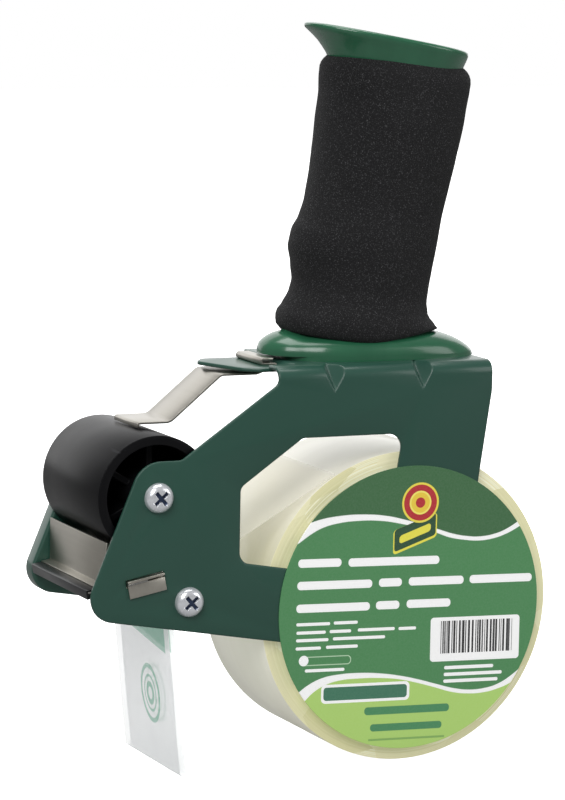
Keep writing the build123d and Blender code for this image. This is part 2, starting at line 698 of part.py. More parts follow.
with BuildPart() as handle_core:
    base_length = HANDLE_BASE_BACK - HANDLE_BASE_FRONT
    base_middle = (HANDLE_BASE_BACK + HANDLE_BASE_FRONT) / 2
    with BuildSketch(level(TOP_Z)):
        with Locations((base_middle, MID_Y)):
            RectangleRounded(base_length, HANDLE_BASE_WIDTH, HANDLE_BASE_CORNER)
    extrude(amount=HANDLE_BASE_HEIGHT)
    base_top = handle_core.faces().sort_by(Axis.Z)[-1]
    fillet(base_top.edges(), HANDLE_BASE_ROUND)
    add(base_nose.part)
    with BuildSketch(stem(-STEM_SINK)):
        Ellipse(STEM_A, STEM_B)
    extrude(amount=STEM_SINK + GRIP_LENGTH)
    # Flared cap with a shallow thumb scoop
    with BuildSketch(stem(GRIP_LENGTH)):
        Ellipse(CAP_NECK_A, CAP_NECK_B)
    with BuildSketch(stem(GRIP_LENGTH + CAP_FLARE)):
        with Locations((-CAP_FORWARD, 0)):
            Ellipse(CAP_A, CAP_B)
    loft()
    with BuildSketch(stem(GRIP_LENGTH + CAP_FLARE)):
        with Locations((-CAP_FORWARD, 0)):
            Ellipse(CAP_A, CAP_B)
    extrude(amount=CAP_RIM)
    with BuildSketch(stem(GRIP_LENGTH + CAP_FLARE + CAP_RIM - CAP_SCOOP)):
        with Locations((-CAP_FORWARD, 0)):
            Ellipse(CAP_A - CAP_SCOOP_MARGIN, CAP_B - CAP_SCOOP_MARGIN)
    extrude(amount=CAP_SCOOP, mode=Mode.SUBTRACT)
    with BuildSketch(level(TOP_Z)):
        with Locations(*[(across, MID_Y) for across in HANDLE_SCREW_X]):
            Circle(HANDLE_SCREW_HOLE_R)
    extrude(amount=HANDLE_BOSS_DEPTH, mode=Mode.SUBTRACT)

handle_core.part.label = "handle_core"
export_step(handle_core.part, "parts/handle_core.step")

with BuildPart() as foam_grip:
    for height, front_reach, back_reach, half_depth in FOAM_SECTIONS:
        with BuildSketch(stem(height)):
            with Locations(((back_reach - front_reach) / 2, 0)):
                Ellipse((back_reach + front_reach) / 2, half_depth)
    loft()
    with BuildSketch(stem(FOAM_SECTIONS[0][0])):
        Ellipse(STEM_A, STEM_B)
    extrude(amount=GRIP_LENGTH - FOAM_SECTIONS[0][0], mode=Mode.SUBTRACT)
    split(bisect_by=level(BASE_TOP_Z), keep=Keep.TOP)

foam_grip.part.label = "foam_grip"
export_step(foam_grip.part, "parts/foam_grip.step")

HANDLE_HEAD_Z = TOP_UNDER_Z - HANDLE_WASHER

with BuildPart() as handle_washers:
    with BuildSketch(level(HANDLE_HEAD_Z)):
        with Locations(*[(across, MID_Y) for across in HANDLE_SCREW_X]):
            Circle(HANDLE_WASHER_R)
            Circle(HANDLE_PLATE_HOLE_R, mode=Mode.SUBTRACT)
    extrude(amount=HANDLE_WASHER)

handle_washers.part.label = "handle_washers"
export_step(handle_washers.part, "parts/handle_washers.step")

with BuildPart() as handle_screws:
    for across in HANDLE_SCREW_X:
        with BuildSketch(level(HANDLE_HEAD_Z)) as shank:
            with Locations((across, MID_Y)):
                Circle(HANDLE_SCREW_R)
        extrude(shank.sketch, amount=HANDLE_SCREW_LENGTH)
        with BuildSketch(level(HANDLE_HEAD_Z)) as head:
            with Locations((across, MID_Y)):
                Circle(HANDLE_HEAD_R)
        extrude(head.sketch, amount=-HANDLE_HEAD)
    head_rims = handle_screws.edges().filter_by(GeomType.CIRCLE).group_by(Axis.Z)[0]
    fillet(head_rims, HANDLE_HEAD_ROUND)
    underside = Plane((HUB_X, PLATE_Y, HUB_Z + HANDLE_HEAD_Z - HANDLE_HEAD), x_dir=(1, 0, 0),
                      z_dir=(0, 0, -1))
    for across in HANDLE_SCREW_X:
        cross_recess(underside, (across, -MID_Y))

handle_screws.part.label = "handle_screws"
export_step(handle_screws.part, "parts/handle_screws.step")

# ---------------------------------------------------------------- hub and brake
with BuildPart() as hub_stud:
    ring(0, STUD_END_Y, STUD_R)
    ring(SHEET, STUD_COLLAR, STUD_COLLAR_R)

hub_stud.part.label = "hub_stud"
export_step(hub_stud.part, "parts/hub_stud.step")

with BuildPart() as hub_sleeve:
    ring(SHEET + STUD_COLLAR, BOSS_LENGTH, SLEEVE_R, STUD_R)

hub_sleeve.part.label = "hub_sleeve"
export_step(hub_sleeve.part, "parts/hub_sleeve.step")

with BuildPart() as tape_hub:
    hub_r = CORE_BORE_R - HUB_GAP
    hub_length = TAPE_Y + TAPE_WIDTH - HUB_START_Y - SIDE_PLAY
    ring(HUB_START_Y, hub_length, hub_r, hub_r - HUB_WALL)
    ring(HUB_START_Y, HUB_FLANGE, HUB_FLANGE_R, hub_r - HUB_WALL)
    ring(HUB_START_Y, BOSS_LENGTH, HUB_BOSS_R, SLEEVE_R + RUNNING_FIT)
    ring(HUB_START_Y + HUB_DISC_Y, HUB_DISC, hub_r - HUB_WALL / 2, SLEEVE_R + RUNNING_FIT)
    with BuildSketch(side(HUB_START_Y + HUB_DISC_Y)):
        with PolarLocations(HUB_LIGHTENING_AT, HUB_HOLES):
            Circle(HUB_LIGHTENING_R)
    extrude(amount=-HUB_DISC, mode=Mode.SUBTRACT)

tape_hub.part.label = "tape_hub"
export_step(tape_hub.part, "parts/tape_hub.step")

with BuildPart() as brake_washer:
    ring(BRAKE_Y, BRAKE_WASHER, BRAKE_WASHER_R, STUD_R + RUNNING_FIT)

brake_washer.part.label = "brake_washer"
export_step(brake_washer.part, "parts/brake_washer.step")

with BuildPart() as tension_spring:
    spring_lift = SPRING_HEIGHT - 2 * SPRING_WIRE_R
    coil_foot = (HUB_X, PLATE_Y + SPRING_Y + SPRING_WIRE_R, HUB_Z)
    with BuildLine() as coil:
        Helix(pitch=spring_lift / SPRING_TURNS, height=spring_lift, radius=SPRING_MEAN_R,
              center=coil_foot, direction=(0, 1, 0))
    with BuildSketch(Plane(coil.line @ 0, z_dir=coil.line % 0)):
        Circle(SPRING_WIRE_R)
    sweep(path=coil.line, is_frenet=True)

tension_spring.part.label = "tension_spring"
export_step(tension_spring.part, "parts/tension_spring.step")

with BuildPart() as pressure_washer:
    ring(PRESSURE_Y, PRESSURE_WASHER, PRESSURE_WASHER_R, STUD_R + RUNNING_FIT)

pressure_washer.part.label = "pressure_washer"
export_step(pressure_washer.part, "parts/pressure_washer.step")

with BuildPart() as tension_nut:
    ring(NUT_Y, NUT_COLLAR, NUT_COLLAR_R)
    ring(NUT_Y + NUT_COLLAR, NUT_HEIGHT - NUT_COLLAR, NUT_R)
    with BuildSketch(side(NUT_Y + NUT_COLLAR)):
        with PolarLocations(NUT_R + NUT_GRIP_R - NUT_GRIP_DEPTH, NUT_GRIPS):
            Circle(NUT_GRIP_R)
    extrude(amount=-(NUT_HEIGHT - NUT_COLLAR), mode=Mode.SUBTRACT)
    drill(NUT_Y, NUT_HEIGHT, STUD_R + RUNNING_FIT)

tension_nut.part.label = "tension_nut"
export_step(tension_nut.part, "parts/tension_nut.step")

# ---------------------------------------------------------------- tape
with BuildPart() as tape_core:
    ring(TAPE_Y, TAPE_WIDTH, CORE_R, CORE_BORE_R)

tape_core.part.label = "tape_core"
export_step(tape_core.part, "parts/tape_core.step")

with BuildPart() as tape_roll:
    ring(TAPE_Y, TAPE_WIDTH, ROLL_R, CORE_R)

tape_roll.part.label = "tape_roll"
export_step(tape_roll.part, "parts/tape_roll.step")

# The leader leaves the roll on a tangent, turns over the guide post, hangs down and folds back.
with BuildPart() as tape_leader:
    roll_path_r = ROLL_R + TAPE_GAP + FILM / 2
    post_path_r = POST_R + TAPE_GAP + FILM / 2
    leave = atan2(POST_Z, POST_X) - acos((roll_path_r - post_path_r) / hypot(POST_X, POST_Z))
    hang = pi + radians(LEADER_LEAN)
    turn_r = post_path_r / cos((hang - leave) / 2)
    turn = (POST_X + turn_r * cos((hang + leave) / 2), POST_Z + turn_r * sin((hang + leave) / 2))
    fold_z = FILM / 2 - ROLL_R
    fold_x = turn[0] + (turn[1] - fold_z) * tan(radians(LEADER_LEAN))
    tuck_x = fold_x + 2 * FOLD_R + FOLD_BACK * -tan(radians(LEADER_LEAN))
    with BuildSketch(side(TAPE_Y)):
        with BuildLine():
            FilletPolyline(
                (roll_path_r * cos(leave), roll_path_r * sin(leave)),
                turn,
                (fold_x, fold_z),
                (fold_x + 2 * FOLD_R, fold_z),
                (tuck_x, fold_z + FOLD_BACK),
                radius=[post_path_r, FOLD_CORNER_R, FOLD_CORNER_R],
            )
        trace(line_width=FILM)
    extrude(amount=-TAPE_WIDTH)

tape_leader.part.label = "tape_leader"
export_step(tape_leader.part, "parts/tape_leader.step")

with BuildPart() as label_card:
    ring(-LABEL_T, LABEL_T, LABEL_R)

label_card.part.label = "label_card"
export_step(label_card.part, "parts/label_card.step")
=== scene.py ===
import math

import bmesh
import bpy
from mathutils import Matrix, Vector, noise


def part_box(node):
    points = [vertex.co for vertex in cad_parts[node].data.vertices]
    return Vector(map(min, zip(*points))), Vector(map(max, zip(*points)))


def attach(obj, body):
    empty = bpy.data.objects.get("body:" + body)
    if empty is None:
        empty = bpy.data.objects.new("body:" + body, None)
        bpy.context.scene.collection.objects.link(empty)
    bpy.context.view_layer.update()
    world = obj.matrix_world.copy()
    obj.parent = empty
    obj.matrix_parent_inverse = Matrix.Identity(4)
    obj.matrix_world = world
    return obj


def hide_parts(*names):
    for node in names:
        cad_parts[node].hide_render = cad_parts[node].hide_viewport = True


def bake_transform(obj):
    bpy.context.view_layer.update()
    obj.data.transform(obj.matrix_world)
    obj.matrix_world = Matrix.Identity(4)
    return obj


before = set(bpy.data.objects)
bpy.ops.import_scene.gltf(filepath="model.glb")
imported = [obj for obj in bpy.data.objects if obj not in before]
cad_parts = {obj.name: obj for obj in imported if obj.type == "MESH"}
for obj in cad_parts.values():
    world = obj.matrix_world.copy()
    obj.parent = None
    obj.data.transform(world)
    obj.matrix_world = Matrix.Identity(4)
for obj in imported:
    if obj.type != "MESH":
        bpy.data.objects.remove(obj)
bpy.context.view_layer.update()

MM = 0.001

# The hub axis on the side plate's outer face is the maker's datum; places below are
# millimetres from it: across (+X back), deep (+Y away from the side plate) and up (+Z).
roll_low, roll_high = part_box("tape_roll")
plate_low, plate_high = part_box("side_frame")
DATUM = Vector(((roll_low.x + roll_high.x) / 2, plate_low.y, (roll_low.z + roll_high.z) / 2))


def place(across, deep, up):
    """A point in the row frame, in metres, from millimetres off the hub axis."""
    return DATUM + Vector((across, deep, up)) * MM


def in_mm(point):
    """Millimetres off the hub axis of a point in the row frame."""
    return (point - DATUM) / MM


def middle_of(node_name):
    """Middle of a CAD node's box, in millimetres off the hub axis."""
    return in_mm(sum(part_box(node_name), Vector()) / 2)


# ---------------------------------------------------------------- sizes, in millimetres
PLATE_TOP = in_mm(plate_high).z
TAPE_FACE = in_mm(roll_low).y
TAPE_WIDTH = in_mm(roll_high).y - TAPE_FACE
ROLL_R = in_mm(roll_high).x
CORE_R = (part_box("tape_core")[1].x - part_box("tape_core")[0].x) / 2 / MM
MIDDLE = middle_of("retainer_spring").y
BASE_TOP = PLATE_TOP + 8.2
POST_X = middle_of("guide_post").x
POST_Z = middle_of("guide_post").z
POST_R = 6.0

# Painted shade in the cross recesses of the screw heads: heights over the plates between which they are
# painted dark, and how far from the screw's axis
RECESS_LOW = 1.0
RECESS_FLOOR = 1.9
RECESS_REACH = 2.9

# Handle axis: foot on the base's top, leaning back
STEM_ACROSS = -9.6
STEM_LEAN = math.radians(9.5)
STEM_UP = Vector((math.sin(STEM_LEAN), 0, math.cos(STEM_LEAN)))
STEM_BACK = Vector((math.cos(STEM_LEAN), 0, -math.sin(STEM_LEAN)))
STEM_FOOT = Vector((STEM_ACROSS, MIDDLE, BASE_TOP))
DEEP = Vector((0, 1, 0))


def on_stem(height):
    """The point on the leaning handle's axis at a height over its foot."""
    return DATUM + (STEM_FOOT + STEM_UP * height) * MM


# ---------------------------------------------------------------- shader building
def srgb(hex_colour):
    """Linear RGBA of a colour written as six hex digits."""
    channels = [int(hex_colour[i:i + 2], 16) / 255 for i in (0, 2, 4)]
    linear = [c / 12.92 if c <= 0.04045 else ((c + 0.055) / 1.055) ** 2.4 for c in channels]
    return (*linear, 1.0)


def grey(level):
    """Linear RGBA of a plain grey."""
    return (level, level, level, 1.0)


def node(tree, kind, **settings):
    """Add a shader node and set its properties by name."""
    made = tree.nodes.new(kind)
    for key, value in settings.items():
        setattr(made, key, value)
    return made


def connect(tree, value, socket):
    """Link an output to a socket, or set the socket to a plain value."""
    if isinstance(value, bpy.types.NodeSocket):
        tree.links.new(value, socket)
    else:
        socket.default_value = value


def math_node(tree, operation, a, b=None):
    """One step of arithmetic on one or two values."""
    made = node(tree, "ShaderNodeMath", operation=operation)
    for value, socket in zip((a, b), made.inputs):
        if value is not None:
            connect(tree, value, socket)
    return made.outputs[0]


def mix_colour(tree, share, first, second):
    """The first colour at a share of 0, the second at 1."""
    made = node(tree, "ShaderNodeMix", data_type="RGBA")
    connect(tree, share, made.inputs[0])
    connect(tree, first, made.inputs[6])
    connect(tree, second, made.inputs[7])
    return made.outputs[2]


def mapped_range(tree, value, low, high, out_low=0.0, out_high=1.0, smooth=False):
    """Carry a value from one range to another, held at both ends."""
    made = node(tree, "ShaderNodeMapRange", interpolation_type="SMOOTHSTEP" if smooth else "LINEAR")
    for number, socket in zip((value, low, high, out_low, out_high), made.inputs):
        connect(tree, number, socket)
    return made.outputs[0]


def object_point(tree, scale=(1, 1, 1), shift=(0, 0, 0)):
    """Object coordinates through a Mapping node."""
    coordinates = node(tree, "ShaderNodeTexCoord")
    mapping = node(tree, "ShaderNodeMapping")
    tree.links.new(coordinates.outputs["Object"], mapping.inputs["Vector"])
    mapping.inputs["Scale"].default_value = scale
    mapping.inputs["Location"].default_value = shift
    return mapping.outputs[0]


def noise_value(tree, point, scale, detail=2.0, rough=0.5):
    """Cloudy noise at a point, about 0 to 1."""
    made = node(tree, "ShaderNodeTexNoise")
    tree.links.new(point, made.inputs["Vector"])
    connect(tree, scale, made.inputs["Scale"])
    made.inputs["Detail"].default_value = detail
    made.inputs["Roughness"].default_value = rough
    return made.outputs[0]


def new_group(name, inputs, outputs):
    """An empty shader node group of plain values; inputs are name and default, outputs are names."""
    group = bpy.data.node_groups.new(name, "ShaderNodeTree")
    for label, value in inputs:
        made = group.interface.new_socket(label, in_out="INPUT", socket_type="NodeSocketFloat")
        made.default_value = value
    for label in outputs:
        group.interface.new_socket(label, in_out="OUTPUT", socket_type="NodeSocketFloat")
    return group, node(group, "NodeGroupInput").outputs, node(group, "NodeGroupOutput").inputs


def surface_grain_group():
    """Fine moulded or painted texture: a height, a roughness and a slow tint over the surface."""
    group, given, wanted = new_group(
        "surface_grain",
        [("Grain Scale", 900.0), ("Roughness", 0.35), ("Roughness Spread", 0.06), ("Tint Scale", 30.0)],
        ["Height", "Roughness", "Tint"])
    point = object_point(group)
    fine = noise_value(group, point, given["Grain Scale"], 3.0)
    slow = noise_value(group, point, given["Tint Scale"], 2.0)
    group.links.new(fine, wanted["Height"])
    spread = math_node(group, "MULTIPLY", math_node(group, "SUBTRACT", slow, 0.5),
                       given["Roughness Spread"])
    group.links.new(math_node(group, "ADD", spread, given["Roughness"]), wanted["Roughness"])
    group.links.new(slow, wanted["Tint"])
    return group


def scratch_group():
    """Sparse hairline scratches in two directions, as a mask from 0 to 1."""
    group, given, wanted = new_group(
        "hairline_scratches", [("Scale", 60.0), ("Amount", 0.5)], ["Mask"])
    masks = []
    for stretch, shift in (((1.0, 0.06, 0.9), (0.3, 0.1, 0.7)), ((0.9, 0.8, 0.05), (0.9, 0.4, 0.2))):
        point = object_point(group, stretch, shift)
        streak = noise_value(group, point, given["Scale"], 4.0, 0.75)
        masks.append(mapped_range(group, streak, 0.66, 0.70))
    both = math_node(group, "MAXIMUM", masks[0], masks[1])
    group.links.new(math_node(group, "MULTIPLY", both, given["Amount"]), wanted["Mask"])
    return group


def brushed_group():
    """Long rolling marks along Y on sheet metal: a height and a roughness."""
    group, given, wanted = new_group(
        "rolling_marks", [("Scale", 700.0), ("Roughness", 0.3), ("Spread", 0.12)],
        ["Height", "Roughness"])
    marks = noise_value(group, object_point(group, (1.0, 0.03, 1.0)), given["Scale"], 3.0, 0.6)
    blotches = noise_value(group, object_point(group), 90.0, 3.0)
    both = math_node(group, "ADD", math_node(group, "MULTIPLY", marks, 0.6),
                     math_node(group, "MULTIPLY", blotches, 0.4))
    group.links.new(both, wanted["Height"])
    spread = math_node(group, "MULTIPLY", math_node(group, "SUBTRACT", both, 0.5), given["Spread"])
    group.links.new(math_node(group, "ADD", spread, given["Roughness"]), wanted["Roughness"])
    return group


GRAIN = surface_grain_group()
SCRATCHES = scratch_group()
BRUSHED = brushed_group()


def use_group(tree, group, **values):
    """Place a node group and set its inputs, whose names are written with underscores."""
    made = node(tree, "ShaderNodeGroup")
    made.node_tree = group
    for key, value in values.items():
        connect(tree, value, made.inputs[key.replace("_", " ")])
    return made.outputs


def new_material(name, **sockets):
    """A material with one Principled BSDF; constants go straight onto its own sockets."""
    made = bpy.data.materials.new(name)
    made.use_nodes = True
    shader = made.node_tree.nodes["Principled BSDF"]
    for key, value in sockets.items():
        shader.inputs[key.replace("_", " ")].default_value = value
    return made, made.node_tree, shader


def bump(tree, shader, height, distance, strength=1.0):
    """Feed a height in metres of relief to the shader's normal."""
    made = node(tree, "ShaderNodeBump")
    made.inputs["Distance"].default_value = distance
    made.inputs["Strength"].default_value = strength
    tree.links.new(height, made.inputs["Height"])
    tree.links.new(made.outputs[0], shader.inputs["Normal"])


def green_paint():
    """Stoved paint with a faint orange peel and a few rub marks."""
    made, tree, shader = new_material("stoved_green_paint", Coat_Weight=0.2, Coat_Roughness=0.1)
    shader.inputs["Specular IOR Level"].default_value = 0.4
    grain = use_group(tree, GRAIN, Grain_Scale=420.0, Roughness=0.34, Roughness_Spread=0.08,
                      Tint_Scale=14.0)
    colour = mix_colour(tree, grain["Tint"], srgb("24493d"), srgb("2a5145"))
    scratches = use_group(tree, SCRATCHES, Scale=26.0, Amount=0.08)
    tree.links.new(mix_colour(tree, scratches["Mask"], colour, srgb("4d7264")), shader.inputs["Base Color"])
    tree.links.new(grain["Roughness"], shader.inputs["Roughness"])
    bump(tree, shader, grain["Height"], 0.00002, 0.4)
    rounded = node(tree, "ShaderNodeBevel", samples=6)
    rounded.inputs["Radius"].default_value = 0.0009
    relief = shader.inputs["Normal"].links[0].from_node
    tree.links.new(rounded.outputs[0], relief.inputs["Normal"])
    return made


def green_plastic():
    """Glossy moulded plastic with slow vertical streaks of lighter and darker green: moulding marks, and
    painted sheen streaks.
    """
    made, tree, shader = new_material("moulded_green_plastic", Coat_Weight=0.25, Coat_Roughness=0.08)
    grain = use_group(tree, GRAIN, Grain_Scale=1300.0, Roughness=0.24, Roughness_Spread=0.1,
                      Tint_Scale=40.0)
    # Vertical streaks in the colour: partly moulding marks, partly painted sheen streaks.
    sheen_and_flow_streaks = noise_value(tree, object_point(tree, (1.0, 1.0, 0.12)), 120.0, 3.0)
    colour = mix_colour(tree, sheen_and_flow_streaks, srgb("1e553b"), srgb("2d694b"))
    tree.links.new(colour, shader.inputs["Base Color"])
    tree.links.new(grain["Roughness"], shader.inputs["Roughness"])
    bump(tree, shader, grain["Height"], 0.00002, 0.3)
    return made


def black_foam():
    """Closed-cell foam: matt, fine pored, with sparse light specks."""
    made, tree, shader = new_material("black_grip_foam", Roughness=0.95, Sheen_Weight=0.04,
                                      Sheen_Roughness=0.6)
    shader.inputs["Specular IOR Level"].default_value = 0.1
    point = object_point(tree)
    pores = node(tree, "ShaderNodeTexVoronoi", feature="F1")
    tree.links.new(point, pores.inputs["Vector"])
    pores.inputs["Scale"].default_value = 1500.0
    fine = noise_value(tree, point, 2600.0, 3.0, 0.7)
    slow = noise_value(tree, point, 45.0, 3.0)
    specks = mapped_range(tree, fine, 0.56, 0.70)
    dark = mix_colour(tree, slow, srgb("1a1a1b"), srgb("262627"))
    tree.links.new(mix_colour(tree, specks, dark, srgb("5a5a5c")), shader.inputs["Base Color"])
    height = math_node(tree, "ADD", pores.outputs["Distance"], math_node(tree, "MULTIPLY", fine, 0.7))
    bump(tree, shader, height, 0.00022, 0.7)
    return made


def black_plastic(name="hard_black_plastic", dark="121214", light="1d1d20", roughness=0.3, shine=0.5):
    """Hard black plastic with hairline scratches."""
    made, tree, shader = new_material(name)
    shader.inputs["Specular IOR Level"].default_value = shine
    grain = use_group(tree, GRAIN, Grain_Scale=1100.0, Roughness=roughness, Roughness_Spread=0.12,
                      Tint_Scale=60.0)
    scratches = use_group(tree, SCRATCHES, Scale=70.0, Amount=0.25)
    colour = mix_colour(tree, grain["Tint"], srgb(dark), srgb(light))
    tree.links.new(mix_colour(tree, scratches["Mask"], colour, srgb("5a5a60")), shader.inputs["Base Color"])
    tree.links.new(grain["Roughness"], shader.inputs["Roughness"])
    bump(tree, shader, grain["Height"], 0.00002, 0.4)
    return made


def metal(name, dark, light, roughness, spread=0.12, scale=700.0, relief=0.00001):
    """Bare or plated metal with faint rolling marks between two tones."""
    made, tree, shader = new_material(name, Metallic=1.0)
    marks = use_group(tree, BRUSHED, Scale=scale, Roughness=roughness, Spread=spread)
    tree.links.new(mix_colour(tree, marks["Height"], srgb(dark), srgb(light)), shader.inputs["Base Color"])
    tree.links.new(marks["Roughness"], shader.inputs["Roughness"])
    bump(tree, shader, marks["Height"], relief, 0.6)
    return made


def screw_zinc():
    """Zinc plated screw heads: bright domes with painted shade and a bluish painted reflection in the cross
    recess.
    """
    made, tree, shader = new_material("zinc_screw_heads", Metallic=0.6)
    marks = use_group(tree, BRUSHED, Scale=900.0, Roughness=0.22, Spread=0.08)
    across, deep, up = hub_radius(tree)[2:]
    near_axes = []
    for node_name in ("roller_axle", "guide_post"):
        axis = middle_of(node_name)
        near_axes.append(disc(tree, across, up, axis.x, axis.z, RECESS_REACH))
    out = math_node(tree, "ABSOLUTE", math_node(tree, "SUBTRACT", deep, MIDDLE * MM))
    under = math_node(tree, "LESS_THAN", out, (MIDDLE + RECESS_FLOOR) * MM)
    over = math_node(tree, "GREATER_THAN", out, (MIDDLE + RECESS_LOW) * MM)
    floor_mask = math_node(tree, "MULTIPLY", under, over)
    recess = math_node(tree, "MULTIPLY", floor_mask, math_node(tree, "MAXIMUM", *near_axes))
    bright = mix_colour(tree, marks["Height"], srgb("dcdfe6"), srgb("f2f3f6"))
    # Painted shade: the cross recess is painted a dark blue-grey, shade with a bluish painted reflection.
    tree.links.new(mix_colour(tree, recess, bright, srgb("3a4660")), shader.inputs["Base Color"])
    tree.links.new(marks["Roughness"], shader.inputs["Roughness"])
    bump(tree, shader, marks["Height"], 0.00001, 0.4)
    return made


def matt_solid(name, dark, light, roughness, scale, relief=0.00005):
    """Board, fibre or plain plastic: grained, between two tones."""
    made, tree, shader = new_material(name)
    grain = use_group(tree, GRAIN, Grain_Scale=scale, Roughness=roughness, Roughness_Spread=0.1,
                      Tint_Scale=scale / 5)
    tree.links.new(mix_colour(tree, grain["Tint"], srgb(dark), srgb(light)), shader.inputs["Base Color"])
    tree.links.new(grain["Roughness"], shader.inputs["Roughness"])
    bump(tree, shader, grain["Height"], relief, 0.6)
    return made


def hub_radius(tree):
    """Of the shaded point: distance from the hub axis, angle round it, and its three places off it."""
    centred = object_point(tree, shift=(-DATUM.x, -DATUM.y, -DATUM.z))
    split = node(tree, "ShaderNodeSeparateXYZ")
    tree.links.new(centred, split.inputs[0])
    across, deep, up = split.outputs
    square = math_node(tree, "ADD", math_node(tree, "MULTIPLY", across, across),
                       math_node(tree, "MULTIPLY", up, up))
    angle = math_node(tree, "ARCTAN2", up, across)
    return math_node(tree, "SQRT", square), angle, across, deep, up


def glow(tree, shader, colour, strength):
    """Painted light: emission standing in for light that comes back out of clear film or bright coated card.
    """
    tree.links.new(colour, shader.inputs["Emission Color"])
    shader.inputs["Emission Strength"].default_value = strength


def film_light_and_shade(tree, across, up):
    """Painted light and shade on the tape by place: cream low in the roll, a darker yellow band of painted
    shade above it, and paler towards its top and front where it is painted as lit from above.
    """
    tilted = math_node(tree, "SUBTRACT", up, math_node(tree, "MULTIPLY", across, 0.25))
    level = mapped_range(tree, tilted, 18 * MM, 62 * MM, smooth=True)
    middle = mapped_range(tree, up, -14 * MM, 10 * MM, smooth=True)
    low = mix_colour(tree, middle, srgb("d6d4c4"), srgb("b9b58e"))
    return mix_colour(tree, level, low, srgb("dddacf"))


def wound_tape():
    """Clear film wound on itself: milky, with fine layer lines and cells of trapped air on its sides."""
    made, tree, shader = new_material("wound_clear_tape", Coat_Weight=0.3, Coat_Roughness=0.1)
    radius, angle, across, deep, up = hub_radius(tree)
    layers = node(tree, "ShaderNodeTexNoise", noise_dimensions="1D")
    tree.links.new(radius, layers.inputs["W"])
    layers.inputs["Scale"].default_value = 2200.0
    layers.inputs["Detail"].default_value = 3.0
    bands = node(tree, "ShaderNodeTexNoise", noise_dimensions="1D")
    tree.links.new(deep, bands.inputs["W"])
    bands.inputs["Scale"].default_value = 110.0
    bands.inputs["Detail"].default_value = 4.0
    cells = node(tree, "ShaderNodeCombineXYZ")
    tree.links.new(math_node(tree, "MULTIPLY", angle, 2.4), cells.inputs[0])
    tree.links.new(math_node(tree, "MULTIPLY", radius, 90.0), cells.inputs[1])
    patches = node(tree, "ShaderNodeTexVoronoi", feature="F1")
    tree.links.new(cells.outputs[0], patches.inputs["Vector"])
    patches.inputs["Scale"].default_value = 1.0
    patch_split = node(tree, "ShaderNodeSeparateXYZ")
    tree.links.new(patches.outputs["Color"], patch_split.inputs[0])
    on_side = mapped_range(tree, math_node(tree, "ABSOLUTE", side_share(tree)), 0.6, 0.9)
    # The milky colour is laid over the tape's painted light and shade.
    milky = mix_colour(tree, math_node(tree, "MULTIPLY", bands.outputs[0], 0.35),
                       film_light_and_shade(tree, across, up), srgb("efeee4"))
    side = mix_colour(tree, patch_split.outputs[0], srgb("cbc79a"), srgb("dcd8b4"))
    # A few cells show the layers strongly, most hardly at all.
    lines = mapped_range(tree, layers.outputs[0], 0.46, 0.60)
    strong = mapped_range(tree, patch_split.outputs[1], 0.62, 0.70, 0.12, 0.75)
    side = mix_colour(tree, math_node(tree, "MULTIPLY", lines, strong), side, srgb("efedd6"))
    colour = mix_colour(tree, on_side, milky, side)
    tree.links.new(colour, shader.inputs["Base Color"])
    # Painted light: the roll glows with its own colour.
    glow(tree, shader, colour, 0.38)
    rough = mapped_range(tree, on_side, 0.0, 1.0, 0.3, 0.4)
    tree.links.new(rough, shader.inputs["Roughness"])
    height = math_node(tree, "ADD", math_node(tree, "MULTIPLY", layers.outputs[0], on_side),
                       math_node(tree, "MULTIPLY", bands.outputs[0], 0.2))
    bump(tree, shader, height, 0.00005, 0.5)
    return made


def side_share(tree):
    """Y part of the surface's own normal: 1 or -1 on a face square to the hub axis."""
    geometry = node(tree, "ShaderNodeNewGeometry")
    split = node(tree, "ShaderNodeSeparateXYZ")
    tree.links.new(geometry.outputs["Normal"], split.inputs[0])
    return split.outputs[1]


# Reach of the label's curves from the hub axis, and softness of their edges, in millimetres
CURVE_REACH = 50.0
CURVE_EDGE = 0.12
# Softness of the print's other edges, in metres
PRINT_EDGE = 0.00006


def below_curve(tree, across, up, points):
    """1 where the shaded point lies under a curve given by (across, up) points in millimetres."""
    low, high = -CURVE_REACH, CURVE_REACH
    curve = node(tree, "ShaderNodeFloatCurve")
    line = curve.mapping.curves[0]
    wanted = [((x - low) / (high - low), (z - low) / (high - low)) for x, z in points]
    while len(line.points) < len(wanted):
        line.points.new(0.5, 0.5)
    for spot, (x, z) in zip(line.points, wanted):
        spot.location = (x, z)
    curve.mapping.update()
    connect(tree, mapped_range(tree, across, low * MM, high * MM), curve.inputs["Value"])
    height = mapped_range(tree, up, low * MM, high * MM)
    soft = CURVE_EDGE / (high - low)
    return mapped_range(tree, math_node(tree, "SUBTRACT", curve.outputs[0], height), -soft, soft)


def bar_group():
    """A rounded bar on a slope, as a mask; all its sizes are in metres."""
    group, given, wanted = new_group(
        "rounded_bar",
        [("Across", 0.0), ("Up", 0.0), ("Middle", 0.0), ("Level", 0.0), ("Half Width", 0.01),
         ("Half Height", 0.002), ("Corner", 0.001), ("Slope", 0.0)],
        ["Mask"])
    right = math_node(group, "SUBTRACT", given["Across"], given["Middle"])
    rise = math_node(group, "MULTIPLY", right, given["Slope"])
    above = math_node(group, "SUBTRACT", math_node(group, "SUBTRACT", given["Up"], given["Level"]), rise)
    squares = []
    for way, half in ((right, "Half Width"), (above, "Half Height")):
        inner = math_node(group, "SUBTRACT", given[half], given["Corner"])
        over = math_node(group, "SUBTRACT", math_node(group, "ABSOLUTE", way), inner)
        over = math_node(group, "MAXIMUM", over, 0.0)
        squares.append(math_node(group, "MULTIPLY", over, over))
    reach = math_node(group, "SQRT", math_node(group, "ADD", *squares))
    outside = math_node(group, "SUBTRACT", reach, given["Corner"])
    group.links.new(mapped_range(group, outside, -PRINT_EDGE, PRINT_EDGE, 1.0, 0.0), wanted["Mask"])
    return group


BAR = bar_group()
PRINT_SLOPE = -0.028
BADGE_SLOPE = 0.34
